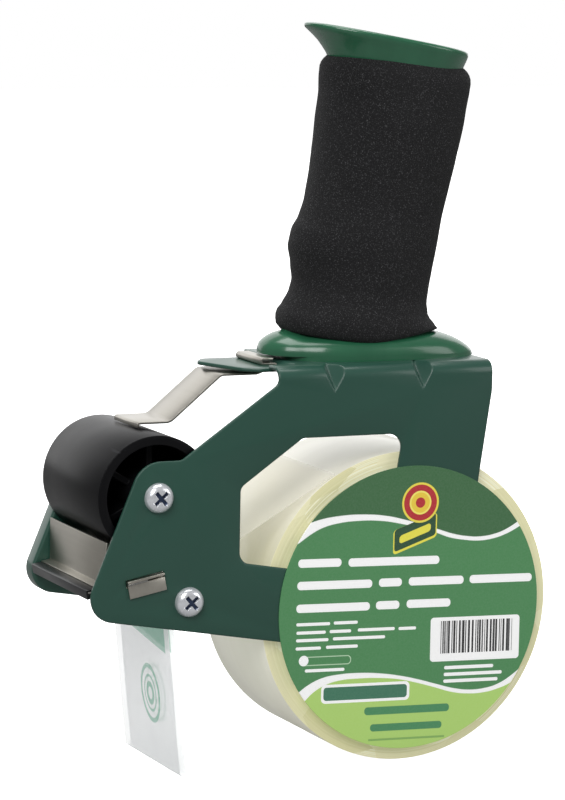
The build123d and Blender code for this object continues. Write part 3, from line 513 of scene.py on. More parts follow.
# Edges of the label's waves, as (across, up) points
UPPER_WAVE_TOP = [
    (-50, 24), (-42, 27.5), (-33.8, 30.3), (-25.9, 31.4), (-16.2, 31.4), (-8.8, 30.5), (-3, 29.1),
    (9.6, 25.2), (15.1, 23.4), (20, 22.4), (24.8, 22), (31, 22.8), (35.1, 24.3), (40, 27.2), (50, 35),
]
UPPER_WAVE_LOW = [
    (-50, 17), (-39.3, 23.8), (-35.3, 26.3), (-31.4, 28), (-26.1, 29.1), (-18.8, 29.5), (-11.4, 29.1),
    (-6, 28.2), (8.3, 24.3), (13.8, 22.3), (19.3, 21.2), (24.1, 20.7), (28.9, 21), (33.8, 22.2),
    (39.9, 25), (50, 31),
]
LOWER_WAVE_TOP = [
    (-50, -34), (-39.4, -25.5), (-35.6, -23), (-31, -21.2), (-25, -20.4), (-17.7, -20.4),
    (-10.2, -21.1), (-3.4, -22.3), (3.4, -24), (10.3, -26.1), (16.5, -27.9), (22.1, -28.8),
    (27.6, -28.7), (32.4, -27.7), (37.9, -24.9), (43.1, -20.8), (50, -14),
]
LOWER_WAVE_LOW = [
    (-50, -42), (-37.2, -28.5), (-33.9, -25.6), (-29.7, -23.5), (-25, -22.4), (-17.6, -22.2),
    (-10.2, -22.6), (-3.4, -23.5), (3.4, -25.2), (9.6, -27.1), (15.9, -29.1), (21.4, -30),
    (26.9, -30.1), (32.5, -29.2), (38, -27.1), (42.1, -23), (50, -13),
]
# Plain bars in rows: (left, right, level of the middle), by their half heights
WHITE_BARS = {
    1.35: [
        (-40.1, -24.9, 16.5), (-22.4, 10.2, 15.6), (-40.3, -13.8, 9.1), (-11.4, -3.2, 8.7),
        (-0.7, 19.2, 8.3), (21.4, 44.3, 7.7), (-40.5, -14.5, 1.7), (-12.3, -3.9, 1.3), (-1.3, 14.6, 1.0),
    ],
    0.5: [
        (-40.4, -28.5, -3.3), (-27.2, -18.7, -3.5), (-40.3, -30.0, -6.0), (-28.6, -21.0, -6.2),
        (-18.6, -5.4, -6.4), (-4.0, 2.3, -6.8), (-40.4, -29.0, -8.5), (-27.4, -8.8, -8.8),
        (-40.5, -31.6, -11.1), (-29.8, -18.5, -11.3), (-37.1, -23.1, -18.6),
    ],
    0.55: [(12.9, 30.9, -21.1), (12.8, 34.1, -23.4), (12.7, 32.6, -25.6)],
}
DARK_BARS = {1.3: [(-15.7, 15.0, -33.7)], 1.2: [(-13.5, 12.4, -39.3)]}
FAINT_BARS = {0.35: [(-14.1, 13.5, -43.3)]}
# Badge rings from the rim inwards: (radius, ink)
BADGE_RINGS = [(6.6, "e9d94a"), (5.9, "b3202a"), (3.9, "f3e66a"), (3.3, "e8c93c"), (1.7, "b3202a")]


def bar(tree, across, up, middle, level, half_width, half_height, corner, slope=PRINT_SLOPE):
    """One rounded bar as a mask; its sizes are in millimetres."""
    return use_group(tree, BAR, Across=across, Up=up, Middle=middle * MM, Level=level * MM,
                     Half_Width=half_width * MM, Half_Height=half_height * MM, Corner=corner * MM,
                     Slope=slope)["Mask"]


def bars(tree, across, up, rows, corner_share=0.9):
    """One mask for many bars, given as lists by half height."""
    masks = [
        bar(tree, across, up, (left + right) / 2, level, (right - left) / 2, half, half * corner_share)
        for half, row in rows.items() for left, right, level in row]
    whole = masks[0]
    for mask in masks[1:]:
        whole = math_node(tree, "MAXIMUM", whole, mask)
    return whole


def disc(tree, across, up, middle, level, radius):
    """A round spot as a mask; its place and radius are in millimetres."""
    right = math_node(tree, "SUBTRACT", across, middle * MM)
    above = math_node(tree, "SUBTRACT", up, level * MM)
    square = math_node(tree, "ADD", math_node(tree, "MULTIPLY", right, right),
                       math_node(tree, "MULTIPLY", above, above))
    outside = math_node(tree, "SUBTRACT", math_node(tree, "SQRT", square), radius * MM)
    return mapped_range(tree, outside, -PRINT_EDGE, PRINT_EDGE, 1.0, 0.0)


def printed_label():
    """Coated card printed with three green fields parted by white waves, plain bars and a round badge."""
    made, tree, shader = new_material("printed_label_card", Coat_Weight=0.1, Coat_Roughness=0.2)
    shader.inputs["Specular IOR Level"].default_value = 0.3
    across, deep, up = hub_radius(tree)[2:]
    speckle = noise_value(tree, object_point(tree), 1600.0, 2.0)
    stripe = node(tree, "ShaderNodeTexNoise", noise_dimensions="1D")
    connect(tree, across, stripe.inputs["W"])
    stripe.inputs["Scale"].default_value = 1500.0
    stripe.inputs["Detail"].default_value = 1.0
    striped = mapped_range(tree, stripe.outputs[0], 0.48, 0.50)
    window = bar(tree, across, up, 24.1, -11.0, 13.4, 5.4, 0.1)
    # What is printed, each ink over the last: (mask, ink)
    printed = [
        (below_curve(tree, across, up, UPPER_WAVE_TOP), "ffffff"),
        (below_curve(tree, across, up, UPPER_WAVE_LOW), "478551"),
        (below_curve(tree, across, up, LOWER_WAVE_TOP), "ffffff"),
        (below_curve(tree, across, up, LOWER_WAVE_LOW), "aed370"),
        (bars(tree, across, up, WHITE_BARS), "ffffff"),
        # A pill with a pale rim and a white dot
        (bars(tree, across, up, {1.5: [(-39.1, -20.8, -15.5)]}), "b9d7b6"),
        (bars(tree, across, up, {1.2: [(-38.8, -21.1, -15.5)]}), "478551"),
        (disc(tree, across, up, -37.6, -15.1, 1.7), "ffffff"),
        # A large plain bar with a white edge, then the small ones
        (bars(tree, across, up, {3.1: [(-31.2, 0.4, -27.0)]}, 0.5), "ffffff"),
        (bars(tree, across, up, {2.2: [(-30.4, -0.5, -27.0)]}, 0.5), "39745a"),
        (bars(tree, across, up, DARK_BARS), "45895a"),
        (bars(tree, across, up, FAINT_BARS), "82ad5c"),
        # A white panel with plain uneven stripes
        (bar(tree, across, up, 23.9, -11.7, 16.3, 7.3, 1.2), "ffffff"),
        (math_node(tree, "MULTIPLY", striped, window), "1d1d1f"),
        # A slanting banner, and on it a round badge with a plain roll of tape
        (bar(tree, across, up, 1.2, 24.2, 7.8, 4.0, 1.2, BADGE_SLOPE), "e9e04a"),
        (bar(tree, across, up, 1.2, 24.6, 7.4, 3.6, 1.0, BADGE_SLOPE), "1f4a2c"),
        (bar(tree, across, up, 1.2, 24.3, 5.6, 1.3, 1.0, BADGE_SLOPE), "e9e04a"),
    ]
    printed += [(disc(tree, across, up, 2.9, 34.3, size), ink) for size, ink in BADGE_RINGS]
    colour = srgb("36663c")
    for mask, ink in printed:
        colour = mix_colour(tree, mask, colour, srgb(ink))
    tinted = mix_colour(tree, math_node(tree, "MULTIPLY", speckle, 0.05), colour, srgb("ffffff"))
    tree.links.new(tinted, shader.inputs["Base Color"])
    # Painted light: the card glows faintly with its printed colour.
    glow(tree, shader, tinted, 0.13)
    tree.links.new(mapped_range(tree, speckle, 0.0, 1.0, 0.38, 0.5), shader.inputs["Roughness"])
    bump(tree, shader, speckle, 0.00001, 0.3)
    return made


# Print on the leader, in millimetres: the band's lower edge, its slant and its near end, then the
# ring's middle and its lines from the outside in, as (radius, half width)
BAND_LOW = -12.0
BAND_SLANT = -0.13
BAND_NEAR = 7.1
RING_UP = -27.2
RING_DEEP = 23.2
RING_STRETCH = 1.15
RING_LINES = [(7.8, 0.7), (5.0, 0.4), (2.6, 0.8)]


def past(tree, value, edge, softness=0.1):
    """1 where a distance is past an edge given in millimetres."""
    return mapped_range(tree, value, (edge - softness) * MM, (edge + softness) * MM)


def clear_film():
    """Clear tape film: nearly vanishes over the roll, greyer where it hangs, with a printed band and ring."""
    made, tree, shader = new_material("clear_tape_film", Roughness=0.2)
    across, deep, up = hub_radius(tree)[2:]
    slow = noise_value(tree, object_point(tree, (1.0, 1.0, 0.5)), 45.0, 2.0)
    hanging = mapped_range(tree, up, 8 * MM, -4 * MM, smooth=True)
    pale = mix_colour(tree, slow, srgb("d6d8da"), srgb("e6e8e8"))
    # Over the roll the film takes the tape's painted light and shade.
    colour = mix_colour(tree, hanging, film_light_and_shade(tree, across, up), pale)
    slant = math_node(tree, "ADD", up, math_node(tree, "MULTIPLY", deep, BAND_SLANT))
    band = math_node(tree, "MULTIPLY", past(tree, slant, BAND_LOW), past(tree, deep, BAND_NEAR))
    tall = math_node(tree, "DIVIDE", math_node(tree, "SUBTRACT", up, RING_UP * MM), RING_STRETCH)
    wide = math_node(tree, "SUBTRACT", deep, RING_DEEP * MM)
    reach = math_node(tree, "SQRT", math_node(tree, "ADD", math_node(tree, "MULTIPLY", tall, tall),
                                              math_node(tree, "MULTIPLY", wide, wide)))
    rings = []
    for radius, half in RING_LINES:
        off = math_node(tree, "ABSOLUTE", math_node(tree, "SUBTRACT", reach, radius * MM))
        inside = math_node(tree, "SUBTRACT", half * MM, off)
        rings.append(past(tree, inside, 0.0, 0.2))
    ink = math_node(tree, "MAXIMUM", math_node(tree, "MAXIMUM", rings[0], rings[1]), rings[2])
    ink = math_node(tree, "MAXIMUM", ink, band)
    ink = math_node(tree, "MULTIPLY", math_node(tree, "MULTIPLY", ink, hanging), 0.8)
    colour = mix_colour(tree, ink, colour, srgb("3f9a7a"))
    tree.links.new(colour, shader.inputs["Base Color"])
    # Painted light: the film glows with its own colour.
    glow(tree, shader, colour, 0.30)
    alpha = mapped_range(tree, hanging, 0.0, 1.0, 0.5, 0.72)
    tree.links.new(math_node(tree, "MAXIMUM", alpha, ink), shader.inputs["Alpha"])
    height = noise_value(tree, object_point(tree, (1.0, 1.0, 0.2)), 70.0, 2.0)
    bump(tree, shader, height, 0.0004, 0.5)
    return made


PAINT = green_paint()
HANDLE_GREEN = green_plastic()
FOAM = black_foam()
BLACK = black_plastic()
ROLLER_BLACK = black_plastic("roller_black_plastic", "0a0a0c", "111113", 0.34, 0.12)
PLATED = metal("plated_sheet_steel", "a8a49a", "c4c0b6", 0.34)
SPRING_STRIP = metal("satin_spring_strip", "aaa69d", "c2beb5", 0.30)
BLADE_STEEL = metal("ground_blade_steel", "8c8b88", "adaba6", 0.25)
BRIGHT_STEEL = metal("bright_drawn_steel", "b5b5b2", "cfcfcc", 0.18)
SCREW_ZINC = screw_zinc()
ZINC = metal("bright_zinc_plate", "b9bcc2", "dcdee2", 0.16, 0.08, 900.0)
SPRING_WIRE = metal("spring_wire", "8f8f8f", "b5b5b4", 0.22)
TAPE = wound_tape()
FILM = clear_film()
LABEL = printed_label()
BOARD = matt_solid("grey_core_board", "8c7a5c", "a3906e", 0.85, 500.0, 0.00008)
FIBRE = matt_solid("pressed_red_fibre", "5c2a1a", "70382a", 0.8, 700.0)
NYLON = matt_solid("natural_nylon", "dcdccf", "ebebe0", 0.45, 500.0, 0.00002)


# ---------------------------------------------------------------- mesh building
def finish_piece(name, bm, material, body=None, sharp=35.0):
    """Turn a bmesh into a named object with one material, riding on a body when one is given."""
    mesh = bpy.data.meshes.new(name)
    bm.to_mesh(mesh)
    bm.free()
    mesh.shade_smooth()
    mesh.set_sharp_from_angle(angle=math.radians(sharp))
    mesh.materials.append(material)
    piece = bpy.data.objects.new(name, mesh)
    bpy.context.scene.collection.objects.link(piece)
    if body is not None:
        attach(piece, body)
    return piece


# An edge is rounded where its faces meet at more than this.
SHARP_EDGE = math.radians(32)


def soften(node_name, piece_name, material, slot, body, width, segments, cuts=()):
    """A copy of a CAD node with its edges rounded, standing for it; cuts are where to slice it across."""
    bm = bmesh.new()
    bm.from_mesh(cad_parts[node_name].data)
    bmesh.ops.remove_doubles(bm, verts=bm.verts, dist=0.002 * MM)
    bmesh.ops.recalc_face_normals(bm, faces=bm.faces)
    bmesh.ops.dissolve_limit(bm, angle_limit=math.radians(0.3), verts=bm.verts, edges=bm.edges)
    for across in cuts:
        geometry = list(bm.verts) + list(bm.edges) + list(bm.faces)
        bmesh.ops.bisect_plane(bm, geom=geometry, dist=0.001 * MM, plane_co=place(across, 0, 0),
                               plane_no=(1, 0, 0))
    sharp = [e for e in bm.edges if len(e.link_faces) == 2 and e.calc_face_angle() > SHARP_EDGE]
    bmesh.ops.bevel(bm, geom=sharp, offset=width * MM, offset_type="OFFSET", segments=segments, profile=0.5,
                    affect="EDGES", clamp_overlap=False, material=-1)
    piece = finish_piece(piece_name, bm, material, body, 40.0)
    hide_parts(node_name)
    return piece


def stem_ring(bm, height, reach_front, reach_back, half_depth, power, segments):
    """A closed ring of vertices square to the stem: a circle pulled out to a rounded section."""
    made = bmesh.ops.create_circle(bm, cap_ends=False, radius=1.0, segments=segments)["verts"]
    for vert in made:
        c, s = vert.co.x, vert.co.y
        reach = reach_back if c > 0 else reach_front
        along = math.copysign(abs(c) ** (2 / power), c) * reach
        sideways = math.copysign(abs(s) ** (2 / power), s) * half_depth
        vert.co = on_stem(height) + (STEM_BACK * along + DEEP * sideways) * MM
    return made


def ring_edges(verts):
    """The edges of a ring, found from its vertices."""
    inside = set(verts)
    near = {e for v in verts for e in v.link_edges}
    return [e for e in near if e.verts[0] in inside and e.verts[1] in inside]


def bridge_rings(bm, rings):
    """Join rings one after the other into a skin."""
    for first, second in zip(rings, rings[1:]):
        bmesh.ops.bridge_loops(bm, edges=ring_edges(first) + ring_edges(second))


# The handle's base: a rounded body and a round nose in front of it, which meet in a soft crease
BODY_MIDDLE = -2.7
BODY_HALF_LENGTH = 33.9
BODY_HALF_WIDTH = 19.5
BODY_POWER = 2.8
NOSE_MIDDLE = -30.0
NOSE_HALF_LENGTH = 12.6
NOSE_HALF_WIDTH = 13.0
CREASE = 1.6
# Rows of the base: (height over the top plate, inset in front and at the sides, inset behind, nose inset)
BASE_ROWS = [
    (0.0, 0.0, 0.0, None), (1.4, 0.0, 0.6, None), (1.4, 0.0, 0.6, 0.0), (1.8, 0.0, 1.0, 0.0),
    (3.0, 0.1, 2.4, 0.05), (4.4, 0.5, 4.6, 0.5), (5.6, 1.4, 7.0, 1.6), (6.6, 2.6, 9.8, 3.0),
    (7.4, 4.4, 12.6, 4.4), (8.0, 6.4, 15.6, 6.0), (8.4, 9.0, 18.6, 7.6),
]
# The stem's foot, and rows of the cap: (height on the stem, front reach, back reach, half depth, squareness)
STEM_ROW = (6.0, 18.5, 18.5, 13.4, 2.0)
CAP_ROWS = [
    (82.0, 19.6, 19.4, 14.0, 2.0), (85.4, 23.9, 20.4, 16.0, 2.0), (87.4, 25.3, 20.9, 16.6, 2.05),
    (89.3, 27.1, 21.3, 17.3, 2.1), (90.8, 28.8, 21.5, 17.9, 2.1), (92.1, 30.6, 21.7, 18.4, 2.15),
    (93.2, 32.3, 21.8, 18.9, 2.2), (94.0, 33.7, 21.9, 19.3, 2.2), (94.6, 34.1, 21.9, 19.4, 2.2),
    (95.2, 34.0, 21.8, 19.3, 2.2), (95.6, 33.3, 21.2, 18.8, 2.2), (95.8, 32.2, 20.3, 18.0, 2.2),
    (95.6, 30.5, 19.0, 16.8, 2.2), (95.0, 26.0, 16.0, 14.0, 2.1), (94.3, 18.0, 11.0, 9.6, 2.0),
    (94.0, 9.0, 5.6, 4.8, 2.0),
]
CAP_FRONT = max(row[1] for row in CAP_ROWS)
CAP_FALL = 0.012
HANDLE_SEGMENTS = 144


def base_reach(angle, front_inset, back_inset, nose_inset):
    """How far the base reaches from its middle at an angle; the nose blends in with a soft crease."""
    c, s = math.cos(angle), math.sin(angle)
    half_length = BODY_HALF_LENGTH - (back_inset if c > 0 else front_inset)
    half_width = BODY_HALF_WIDTH - front_inset
    body = (abs(c / half_length) ** BODY_POWER + abs(s / half_width) ** BODY_POWER) ** (-1 / BODY_POWER)
    if nose_inset is None:
        return body
    across, deep = NOSE_HALF_LENGTH - nose_inset, NOSE_HALF_WIDTH - nose_inset
    offset = BODY_MIDDLE - NOSE_MIDDLE
    a = (c / across) ** 2 + (s / deep) ** 2
    b = c * offset / across ** 2
    root = b * b - a * ((offset / across) ** 2 - 1)
    if root <= 0:
        return body
    nose = (math.sqrt(root) - b) / a
    near = max(CREASE - abs(nose - body), 0.0) / CREASE
    return max(nose, body) + near * near * CREASE / 4


def handle_moulding():
    """Base, hidden stem and flared cap in one closed skin."""
    bm = bmesh.new()
    rings = []
    for height, *insets in BASE_ROWS:
        ring = bmesh.ops.create_circle(bm, cap_ends=False, radius=1.0, segments=HANDLE_SEGMENTS)["verts"]
        for vert in ring:
            angle = math.atan2(vert.co.y, vert.co.x)
            reach = base_reach(angle, *insets)
            vert.co = place(BODY_MIDDLE + reach * math.cos(angle), MIDDLE + reach * math.sin(angle),
                            PLATE_TOP + height)
        rings.append(ring)
    rings.append(stem_ring(bm, *STEM_ROW, HANDLE_SEGMENTS))
    for row in CAP_ROWS:
        ring = stem_ring(bm, *row, HANDLE_SEGMENTS)
        # The cap's top falls a little to the back.
        for vert in ring:
            along = (vert.co - on_stem(row[0])).dot(STEM_BACK) / MM
            vert.co -= STEM_UP * (along + CAP_FRONT) * CAP_FALL * MM
        rings.append(ring)
    bridge_rings(bm, rings)
    bmesh.ops.contextual_create(bm, geom=ring_edges(rings[0]))
    bmesh.ops.contextual_create(bm, geom=ring_edges(rings[-1]))
    bmesh.ops.recalc_face_normals(bm, faces=bm.faces)
    piece = finish_piece("handle_moulding", bm, HANDLE_GREEN, "frame", 50.0)
    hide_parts("handle_core")
    return piece


# Foam outline on the stem: (height, front reach, back reach, half depth)
FOAM_OUTLINE = [
    (-3.0, 24.2, 24.6, 17.8), (-2.4, 25.4, 26.6, 18.6), (-1.2, 26.2, 28.2, 19.1),
    (1.0, 26.7, 28.9, 19.4), (3.0, 26.3, 28.7, 19.3), (5.0, 25.1, 27.6, 18.8),
    (9.0, 23.8, 24.2, 17.6), (13.0, 23.5, 22.9, 17.0), (18.0, 24.9, 22.7, 17.2),
    (24.0, 26.7, 22.7, 17.6), (29.0, 26.5, 22.8, 17.7), (34.0, 24.5, 23.0, 17.5),
    (40.0, 23.7, 23.2, 17.4), (50.0, 23.9, 23.7, 17.7), (62.0, 24.3, 24.5, 18.2),
    (74.0, 25.0, 25.0, 18.6), (81.0, 26.0, 25.2, 18.9), (84.0, 26.1, 25.1, 18.9),
]
# Rolled top edge, then down the bore: (height, inset)
FOAM_TOP = [(85.4, 0.3), (86.6, 0.9), (87.7, 1.8), (88.6, 3.0), (89.1, 4.4), (89.1, 6.0), (87.5, 7.2)]
# The bore's foot, and the squareness of the sleeve's sections
FOAM_BORE_FOOT = (20.0, 20.0, 14.6, 2.1)
FOAM_POWER = 2.15
FOAM_SEGMENTS = 128
FOAM_STEPS = 58
# Lumps in the skin: (size, height); they are only on the outside, this far from the stem's axis
FOAM_LUMPS = [(17.0, 0.45), (7.0, 0.15)]
FOAM_OUTSIDE = 16.0
# The foot: height of its lowest places, rise towards both ends, reach of the ends, and fade upwards
FOAM_FOOT_LOW = 85.6
FOAM_FOOT_RISE = 3.2
FOAM_FOOT_REACH = 26.0
FOAM_FOOT_FADE = 12.0
# The top edge's climb to the back, and where on the stem it starts and how soon it is whole
FOAM_TOP_SLOPE = 0.055
FOAM_CLIMB_START = 70.0
FOAM_CLIMB_RUN = 16.0


EASED_SHARE = 0.6


def smooth_between(outline, height):
    """Sizes at a height, eased between the nearest two rows of an outline."""
    for low, high in zip(outline, outline[1:]):
        if height <= high[0]:
            t = max(0.0, (height - low[0]) / (high[0] - low[0]))
            t = t * t * (3 - 2 * t) * EASED_SHARE + t * (1 - EASED_SHARE)
            return [a + (b - a) * t for a, b in zip(low[1:], high[1:])]
    return list(outline[-1][1:])


def foam_sleeve():
    """The foam sleeve, with its rolled ends, slack folds low down and a bore for the stem."""
    bm = bmesh.new()
    low, high = FOAM_OUTLINE[0][0], FOAM_OUTLINE[-1][0]
    rings = []
    for step in range(FOAM_STEPS + 1):
        height = low + (high - low) * step / FOAM_STEPS
        sizes = smooth_between(FOAM_OUTLINE, height)
        rings.append(stem_ring(bm, height, *sizes, FOAM_POWER, FOAM_SEGMENTS))
    for height, inset in FOAM_TOP:
        sizes = [size - inset for size in FOAM_OUTLINE[-1][1:]]
        rings.append(stem_ring(bm, height, *sizes, FOAM_POWER, FOAM_SEGMENTS))
    rings.append(stem_ring(bm, low, *FOAM_BORE_FOOT, FOAM_SEGMENTS))
    bridge_rings(bm, rings + [rings[0]])
    bmesh.ops.recalc_face_normals(bm, faces=bm.faces)
    for vert in bm.verts:
        spot = in_mm(vert.co)
        height = (spot - STEM_FOOT).dot(STEM_UP)
        outward = spot - STEM_FOOT - STEM_UP * height
        back = outward.dot(STEM_BACK)
        if outward.length > FOAM_OUTSIDE:
            lump = sum(noise.noise(spot / size) * tall for size, tall in FOAM_LUMPS)
            spot += outward.normalized() * lump
        # The foot lies over the domed base: lowest at the middle of both long sides.
        fade = max(0.0, 1 - (height - low) / FOAM_FOOT_FADE)
        share = min(1.0, abs(back) / FOAM_FOOT_REACH)
        wanted = FOAM_FOOT_LOW + FOAM_FOOT_RISE * share ** 1.5
        lowest = BASE_TOP + low * STEM_UP.z - back * math.sin(STEM_LEAN)
        spot.z += (wanted - lowest) * fade * fade
        climb = max(0.0, min(1.0, (height - FOAM_CLIMB_START) / FOAM_CLIMB_RUN))
        spot += STEM_UP * back * FOAM_TOP_SLOPE * climb
        vert.co = DATUM + spot * MM
    piece = finish_piece("foam_sleeve", bm, FOAM, "frame", 80.0)
    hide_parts("foam_grip")
    return piece


# The roll's sides: how far they lie in from the tape's edges, how uneven the layers are, and the rounded rim
SIDE_INSET = 0.12
SIDE_UNEVEN = 0.10
SIDE_STEPS = 26
RIM_START = 0.35
RIM = [(0.1, 0.18), (0.0, 0.45)]
ROLL_SEGMENTS = 160


def tape_roll():
    """The wound roll: film layers that stand a little proud of each other on both sides."""
    bm = bmesh.new()
    near = []
    for step in range(SIDE_STEPS + 1):
        radius = CORE_R + (ROLL_R - RIM_START - CORE_R) * step / SIDE_STEPS
        proud = SIDE_UNEVEN * noise.noise(Vector((radius * 1.7, 0.3, 0.1)))
        near.append((radius, TAPE_FACE + SIDE_INSET - proud))
    near += [(ROLL_R - inset, TAPE_FACE + deep) for inset, deep in RIM]
    far = [(radius, 2 * TAPE_FACE + TAPE_WIDTH - deep) for radius, deep in reversed(near)]
    centre = place(0, 0, 0)
    verts = [bm.verts.new(centre + Vector((0, deep, radius)) * MM) for radius, deep in near + far]
    edges = [bm.edges.new(pair) for pair in zip(verts, verts[1:] + verts[:1])]
    bmesh.ops.spin(bm, geom=verts + edges, cent=centre, axis=DEEP, angle=math.tau, steps=ROLL_SEGMENTS,
                   use_merge=True)
    bmesh.ops.remove_doubles(bm, verts=bm.verts, dist=0.001 * MM)
    bmesh.ops.recalc_face_normals(bm, faces=bm.faces)
    piece = finish_piece("wound_roll", bm, TAPE, "tape", 50.0)
    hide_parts("tape_roll")
    return piece


# The leader: its gap off roll and post, the lean of its hanging part, its fold, the length folded
# back, and its lowest point's height over the roll's lowest
LEADER_GAP = 0.6
LEADER_LEAN = math.radians(6.0)
LEADER_FOLD_R = 1.0
LEADER_FOLD_BACK = 48.0
LEADER_WIDTH = 48.0
LEADER_CLEAR = 0.25
# Waviness of the hanging part: its height, its size deep and up, and how far down it is whole
LEADER_WAVE = 0.5
LEADER_WAVE_SIZE = (30.0, 26.0)
LEADER_WAVE_START = 20.0


def leader_path():
    """Runs and arcs of the leader as a function of the distance along it, with its whole length."""
    roll_r, post_r = ROLL_R + LEADER_GAP, POST_R + LEADER_GAP
    span = math.hypot(POST_X, POST_Z)
    leave = math.atan2(POST_Z, POST_X) - math.acos((roll_r - post_r) / span)
    hang = math.pi + LEADER_LEAN
    start = Vector((math.cos(leave), math.sin(leave))) * roll_r
    post = Vector((POST_X, POST_Z))
    onto = post + Vector((math.cos(leave), math.sin(leave))) * post_r
    off = post + Vector((math.cos(hang), math.sin(hang))) * post_r
    down = Vector((math.sin(LEADER_LEAN), -math.cos(LEADER_LEAN)))
    drop = (off.y + ROLL_R - LEADER_FOLD_R - LEADER_CLEAR) / math.cos(LEADER_LEAN)
    lowest = off + down * drop
    inward = Vector((math.cos(LEADER_LEAN), math.sin(LEADER_LEAN)))
    lengths = [
        (onto - start).length, post_r * (hang - leave), drop, math.pi * LEADER_FOLD_R, LEADER_FOLD_BACK]

    def at(distance):
        """The point across and up at a distance along the leader."""
        if distance < lengths[0]:
            return start.lerp(onto, distance / lengths[0])
        distance -= lengths[0]
        if distance < lengths[1]:
            angle = leave + distance / post_r
            return post + Vector((math.cos(angle), math.sin(angle))) * post_r
        distance -= lengths[1]
        if distance < lengths[2]:
            return off + down * distance
        distance -= lengths[2]
        if distance < lengths[3]:
            turn = distance / LEADER_FOLD_R
            middle = lowest + inward * LEADER_FOLD_R
            return middle + (down * math.sin(turn) - inward * math.cos(turn)) * LEADER_FOLD_R
        return lowest + inward * 2 * LEADER_FOLD_R - down * (distance - lengths[3])

    return at, sum(lengths)


def tape_leader():
    """The loose end of the tape: over the guide post, hanging down and folded back behind itself."""
    at, length = leader_path()
    bm = bmesh.new()
    bmesh.ops.create_grid(bm, x_segments=400, y_segments=16, size=0.5)
    for vert in bm.verts:
        distance = (vert.co.x + 0.5) * length
        deep = TAPE_FACE + (vert.co.y + 0.5) * LEADER_WIDTH
        spot = at(distance)
        loose = max(0.0, min(1.0, -spot.y / LEADER_WAVE_START))
        ripple = Vector((deep / LEADER_WAVE_SIZE[0], spot.y / LEADER_WAVE_SIZE[1], 4.0))
        wave = noise.noise(ripple) * LEADER_WAVE * loose
        vert.co = place(spot.x + wave, deep, spot.y)
    bmesh.ops.recalc_face_normals(bm, faces=bm.faces)
    piece = finish_piece("leader_film", bm, FILM, "frame", 60.0)
    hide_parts("tape_leader")
    return piece


# ---------------------------------------------------------------- the object
handle_moulding()
foam_sleeve()
tape_roll()
# Pieces made from CAD nodes: (node, piece, material, slot, body, width of the rounding, its segments)
SOFTENED = [
    ("side_frame", "side_plate", PAINT, "green_paint", "frame", 0.3, 3),
    ("far_cheek", "far_cheek_plate", PAINT, "green_paint", "frame", 0.3, 3),
    ("roller_axle", "roller_axle_bar", BRIGHT_STEEL, "bright_steel", "frame", 0.3, 2),
    ("guide_post", "guide_post_bar", BRIGHT_STEEL, "bright_steel", "frame", 0.3, 2),
    ("blade_bracket", "blade_shelf", PLATED, "plated_sheet", "frame", 0.12, 2),
    ("blade_clamp", "blade_clamp_plate", PLATED, "plated_sheet", "frame", 0.12, 2),
    ("cutting_blade", "toothed_blade", BLADE_STEEL, "blade_steel", "frame", 0.05, 1),
    ("blade_guard", "blade_cover_strip", BLACK, "black_plastic", "guard", 0.12, 2),
    ("application_roller", "application_roller_drum", ROLLER_BLACK, "black_plastic", "roller", 0.25, 2),
    ("tape_hub", "tape_hub_spool", BLACK, "black_plastic", "hub", 0.3, 2),
    ("tension_nut", "tension_knob", BLACK, "black_plastic", "nut", 0.4, 2),
    ("hub_stud", "hub_stud_bar", BRIGHT_STEEL, "bright_steel", "frame", 0.3, 2),
    ("label_card", "round_label", LABEL, "printed_card", "frame", 0.05, 1),
    ("tape_core", "core_tube", BOARD, "core_board", "tape", 0.2, 2),
    ("cheek_screws", "cheek_screw_set", SCREW_ZINC, "zinc", "frame", 0.08, 2),
]
for settings in SOFTENED:
    soften(*settings)
tape_leader()

# The leaf bends between its slot in the top plate and its lower knee, where it is sliced to follow.
LEAF_BEND = (-47.0, -61.0)
LEAF_SLICE = 1.4
LEAF_SLICES = 11
strip = soften("retainer_spring", "leaf_strip", SPRING_STRIP, "spring_strip", None, 0.08, 2,
               [LEAF_BEND[0] - step * LEAF_SLICE for step in range(LEAF_SLICES)])
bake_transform(strip)

# Small CAD nodes that keep their own mesh
OWN_MESH = {
    "roller_washers": ZINC, "blade_rivets": ZINC, "handle_screws": ZINC, "handle_washers": ZINC,
    "hub_sleeve": NYLON, "brake_washer": FIBRE, "tension_spring": SPRING_WIRE, "pressure_washer": ZINC,
}
for node_name, material in OWN_MESH.items():
    for material_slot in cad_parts[node_name].material_slots:
        material_slot.material = material

# ---------------------------------------------------------------- stage, light and camera
CAMERA_AZIMUTH = math.radians(-24.21)
CAMERA_ELEVATION = math.radians(7.78)
CAMERA_ROLL = math.radians(1.03)
CAMERA_PLACE = place(-509.4, -1029.5, 223.9)
# Brightness of floor and sky where the camera doesn't see them, and the floor's own glow where it does
FLOOR_UNSEEN = 0.30
FLOOR_GLOW = 0.88
SKY_UNSEEN = 0.28
# Softboxes: (name, place, aim, size, watts), in metres
SOFTBOXES = [
    ("key", (-0.9, -1.0, 1.1), (0, 0, 0.12), (0.9, 0.9), 16),
    ("fill", (1.1, -0.9, 0.6), (0, 0, 0.1), (0.8, 0.8), 5),
    ("top", (0.0, 0.2, 1.4), (0, 0, 0.1), (1.0, 1.0), 13),
    ("behind", (0.5, 2.6, 0.9), (0, 0, 0.2), (5.0, 2.6), 42),
]


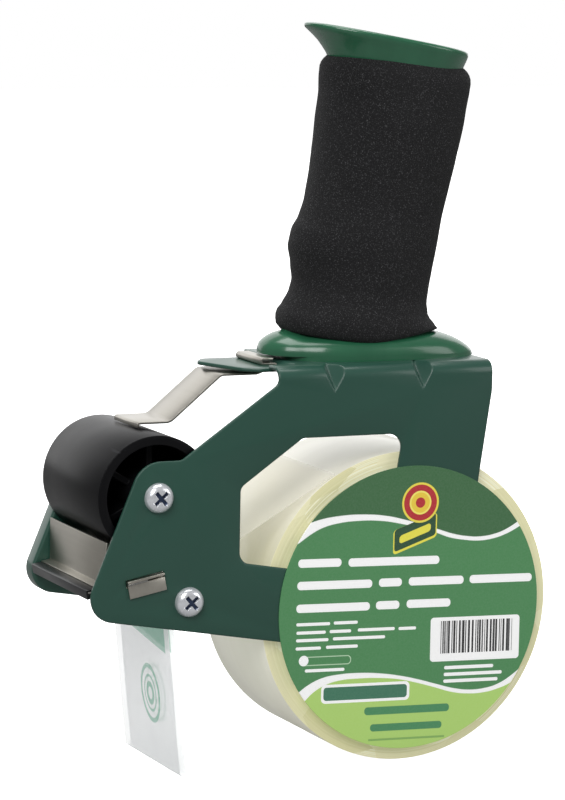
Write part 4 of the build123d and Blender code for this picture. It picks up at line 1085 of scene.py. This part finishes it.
def backdrop():
    """The pale floor."""
    bm = bmesh.new()
    bmesh.ops.create_grid(bm, x_segments=2, y_segments=2, size=4.0)
    mesh = bpy.data.meshes.new("floor")
    bm.to_mesh(mesh)
    bm.free()
    floor = bpy.data.objects.new("floor", mesh)
    bpy.context.scene.collection.objects.link(floor)
    made, tree, shader = new_material("pale_floor", Roughness=0.9)
    shader.inputs["Specular IOR Level"].default_value = 0.1
    # Only the camera sees the floor at full brightness, so it doesn't wash the low surfaces out.
    seen = node(tree, "ShaderNodeLightPath").outputs["Is Camera Ray"]
    faint = noise_value(tree, object_point(tree), 3.0, 2.0)
    pale = mix_colour(tree, faint, grey(0.90), grey(0.94))
    tree.links.new(mix_colour(tree, seen, grey(FLOOR_UNSEEN), pale), shader.inputs["Base Color"])
    shader.inputs["Emission Color"].default_value = grey(1.0)
    tree.links.new(mapped_range(tree, seen, 0.0, 1.0, 0.0, FLOOR_GLOW), shader.inputs["Emission Strength"])
    mesh.materials.append(made)


def softbox(name, spot, aim, size, power):
    """A rectangular light that the camera doesn't see, turned to its aim."""
    light = bpy.data.lights.new(name, "AREA")
    light.shape = "RECTANGLE"
    light.size, light.size_y = size
    light.energy = power
    lamp = bpy.data.objects.new(name, light)
    lamp.location = spot
    lamp.rotation_euler = (Vector(aim) - Vector(spot)).to_track_quat("-Z", "Y").to_euler()
    bpy.context.scene.collection.objects.link(lamp)
    lamp.visible_camera = False


backdrop()
world = bpy.data.worlds.new("studio")
bpy.context.scene.world = world
world.use_nodes = True
sky = world.node_tree
seen = node(sky, "ShaderNodeLightPath").outputs["Is Camera Ray"]
connect(sky, grey(1.0), sky.nodes["Background"].inputs[0])
connect(sky, mapped_range(sky, seen, 0.0, 1.0, SKY_UNSEEN, 1.0), sky.nodes["Background"].inputs[1])
for settings in SOFTBOXES:
    softbox(*settings)

camera = bpy.data.cameras.new("camera")
camera.lens = 162.0
camera.sensor_width = 36.0
camera.clip_end = 20.0
viewer = bpy.data.objects.new("camera", camera)
bpy.context.scene.collection.objects.link(viewer)
turn = Matrix.Rotation(CAMERA_AZIMUTH, 4, "Z") @ Matrix.Rotation(math.pi / 2 - CAMERA_ELEVATION, 4, "X")
turn = turn @ Matrix.Rotation(CAMERA_ROLL, 4, "Z")
viewer.matrix_world = Matrix.Translation(CAMERA_PLACE) @ turn
bpy.context.scene.camera = viewer
bpy.context.scene.view_settings.view_transform = "Standard"
